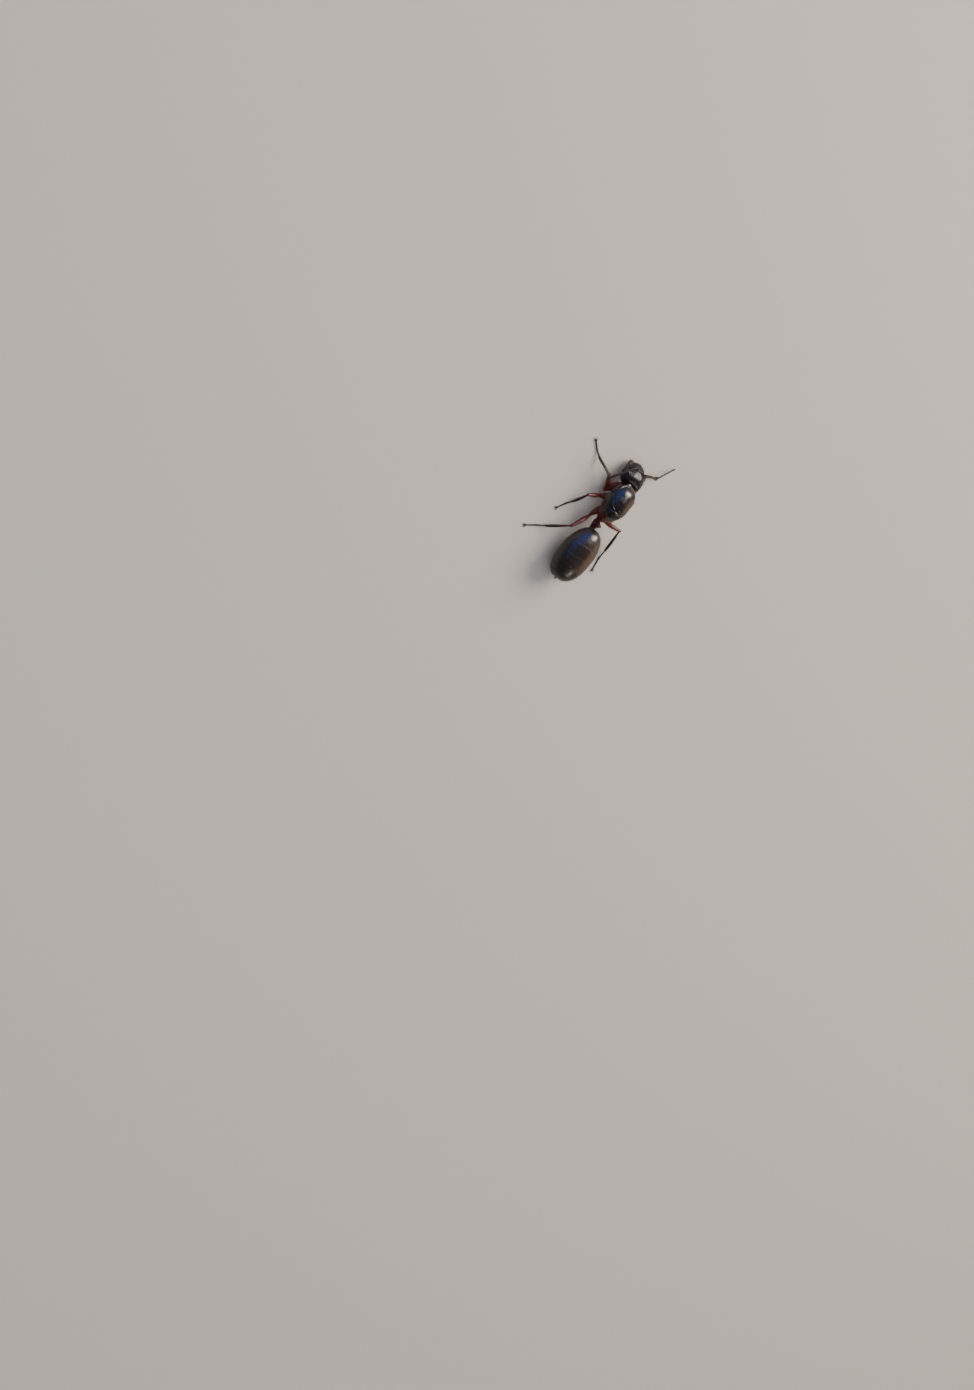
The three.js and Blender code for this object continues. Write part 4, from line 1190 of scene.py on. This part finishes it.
def camera():
    """A close view from above her left side, with no shift: it is turned so that she lies off centre."""
    data = bpy.data.cameras.new("camera")
    data.lens = LENS
    data.sensor_width = 36.0
    data.clip_start, data.clip_end = 0.001, 20.0
    focal = LENS / data.sensor_width * PICTURE[1]
    ahead = Vector((0, -1, 0))
    flat = (ahead - LOOK_BACK * ahead.dot(LOOK_BACK)).normalized()
    beside = LOOK_BACK.cross(flat)
    angle = math.atan2(HEADING.y, HEADING.x)
    right = flat * math.cos(angle) - beside * math.sin(angle)
    up = flat * math.sin(angle) + beside * math.cos(angle)
    facing = Matrix((right, up, LOOK_BACK)).transposed()
    ray = Vector((ANT_AT[0] - PICTURE[0] / 2, PICTURE[1] / 2 - ANT_AT[1], -focal))
    turn = ray.rotation_difference(Vector((0, 0, -1)))
    eye_point = Vector(in_frame(THORAX_MIDDLE)) + LOOK_BACK * ray.length / PIXELS_PER_MM * MM
    made = placed("camera", data)
    made.matrix_world = Matrix.Translation(eye_point) @ (facing @ turn.to_matrix()).to_4x4()
    bpy.context.scene.camera = made


def soft_light(name, direction, distance, size, power, colour, tilt=0.0, wash=False):
    """An oval soft light that faces the ant, in metres, with its width and height and how far it is
    tilted. A wash lights matt surfaces alone, and any other light is only mirrored in glossy ones."""
    data = bpy.data.lights.new(name, "AREA")
    data.shape = "ELLIPSE"
    data.size, data.size_y = size
    data.energy = power
    data.color = linear(colour)[:3]
    made = placed(name, data)
    back = Vector(direction).normalized()
    made.location = Vector(in_frame(LIT_SPOT)) + back * distance
    made.rotation_mode = "QUATERNION"
    made.rotation_quaternion = back.to_track_quat("Z", "Y") @ Quaternion((0, 0, 1), math.radians(tilt))
    made.visible_camera = False
    made.visible_diffuse = wash
    made.visible_glossy = not wash


def studio():
    """A pale floor, a pale sky all round, four lights to be mirrored and two that wash."""
    floor = bpy.data.meshes.new("floor")
    edges = [(-1, -1), (1, -1), (1, 1), (-1, 1)]
    floor.from_pydata([(FLOOR_HALF * x, FLOOR_HALF * y, 0) for x, y in edges], [], [(0, 1, 2, 3)])
    floor.materials.append(matt_studio_paper())
    made = placed("floor", floor)
    world = bpy.data.worlds.new("studio")
    world.use_nodes = True
    sky = world.node_tree.nodes["Background"].inputs
    sky["Color"].default_value = linear(DAYLIGHT)
    sky["Strength"].default_value = DAYLIGHT_STRENGTH
    bpy.context.scene.world = world
    soft_light("sky_panel", (0.60, -0.57, 0.56), 0.4, (0.62, 0.46), 1.65, "#5585f0")
    soft_light("key_lamp", (-0.32, -0.72, 0.58), 0.5, (0.2, 0.34), 6.3, "#fff2e6", -30)
    soft_light("warm_panel", (-0.93, -0.1, 0.34), 0.4, (0.3, 0.3), 0.5, "#ffc9a6")
    soft_light("rim_lamp", (-0.6, 0.6, 0.55), 0.5, (0.12, 0.12), 0.55, "#fff1e2")
    soft_light("window_wash", (-0.32, -0.72, 0.58), 0.5, (0.4, 0.4), 4.2, "#fff4ea", wash=True)
    soft_light("ceiling_wash", (0.15, 0.1, 1.0), 0.6, (0.8, 0.8), 2.4, "#f4f6ff", wash=True)


# ---- The whole ant ----
camera()
studio()
head()
ocelli()
mouthparts()
feelers = []
for side, hand in SIDES.items():
    eye(side, hand)
    mandible(side, hand)
    feelers += [antenna_shaft(side, hand), antenna_whip(side)]
thorax()
wing_scars()
neck()
petiole()
gaster()
nozzle = acid_nozzle()
legs = [leg(name, joints) for name, joints in LEGS.items()]

head_coat()
thorax_coat()
gaster_coat(nozzle)
limb_coat("antenna_setae", [("feeler", shape) for shape in feelers])
limb_coat("leg_setae", [entry for limbs in legs for entry in limbs.items()])
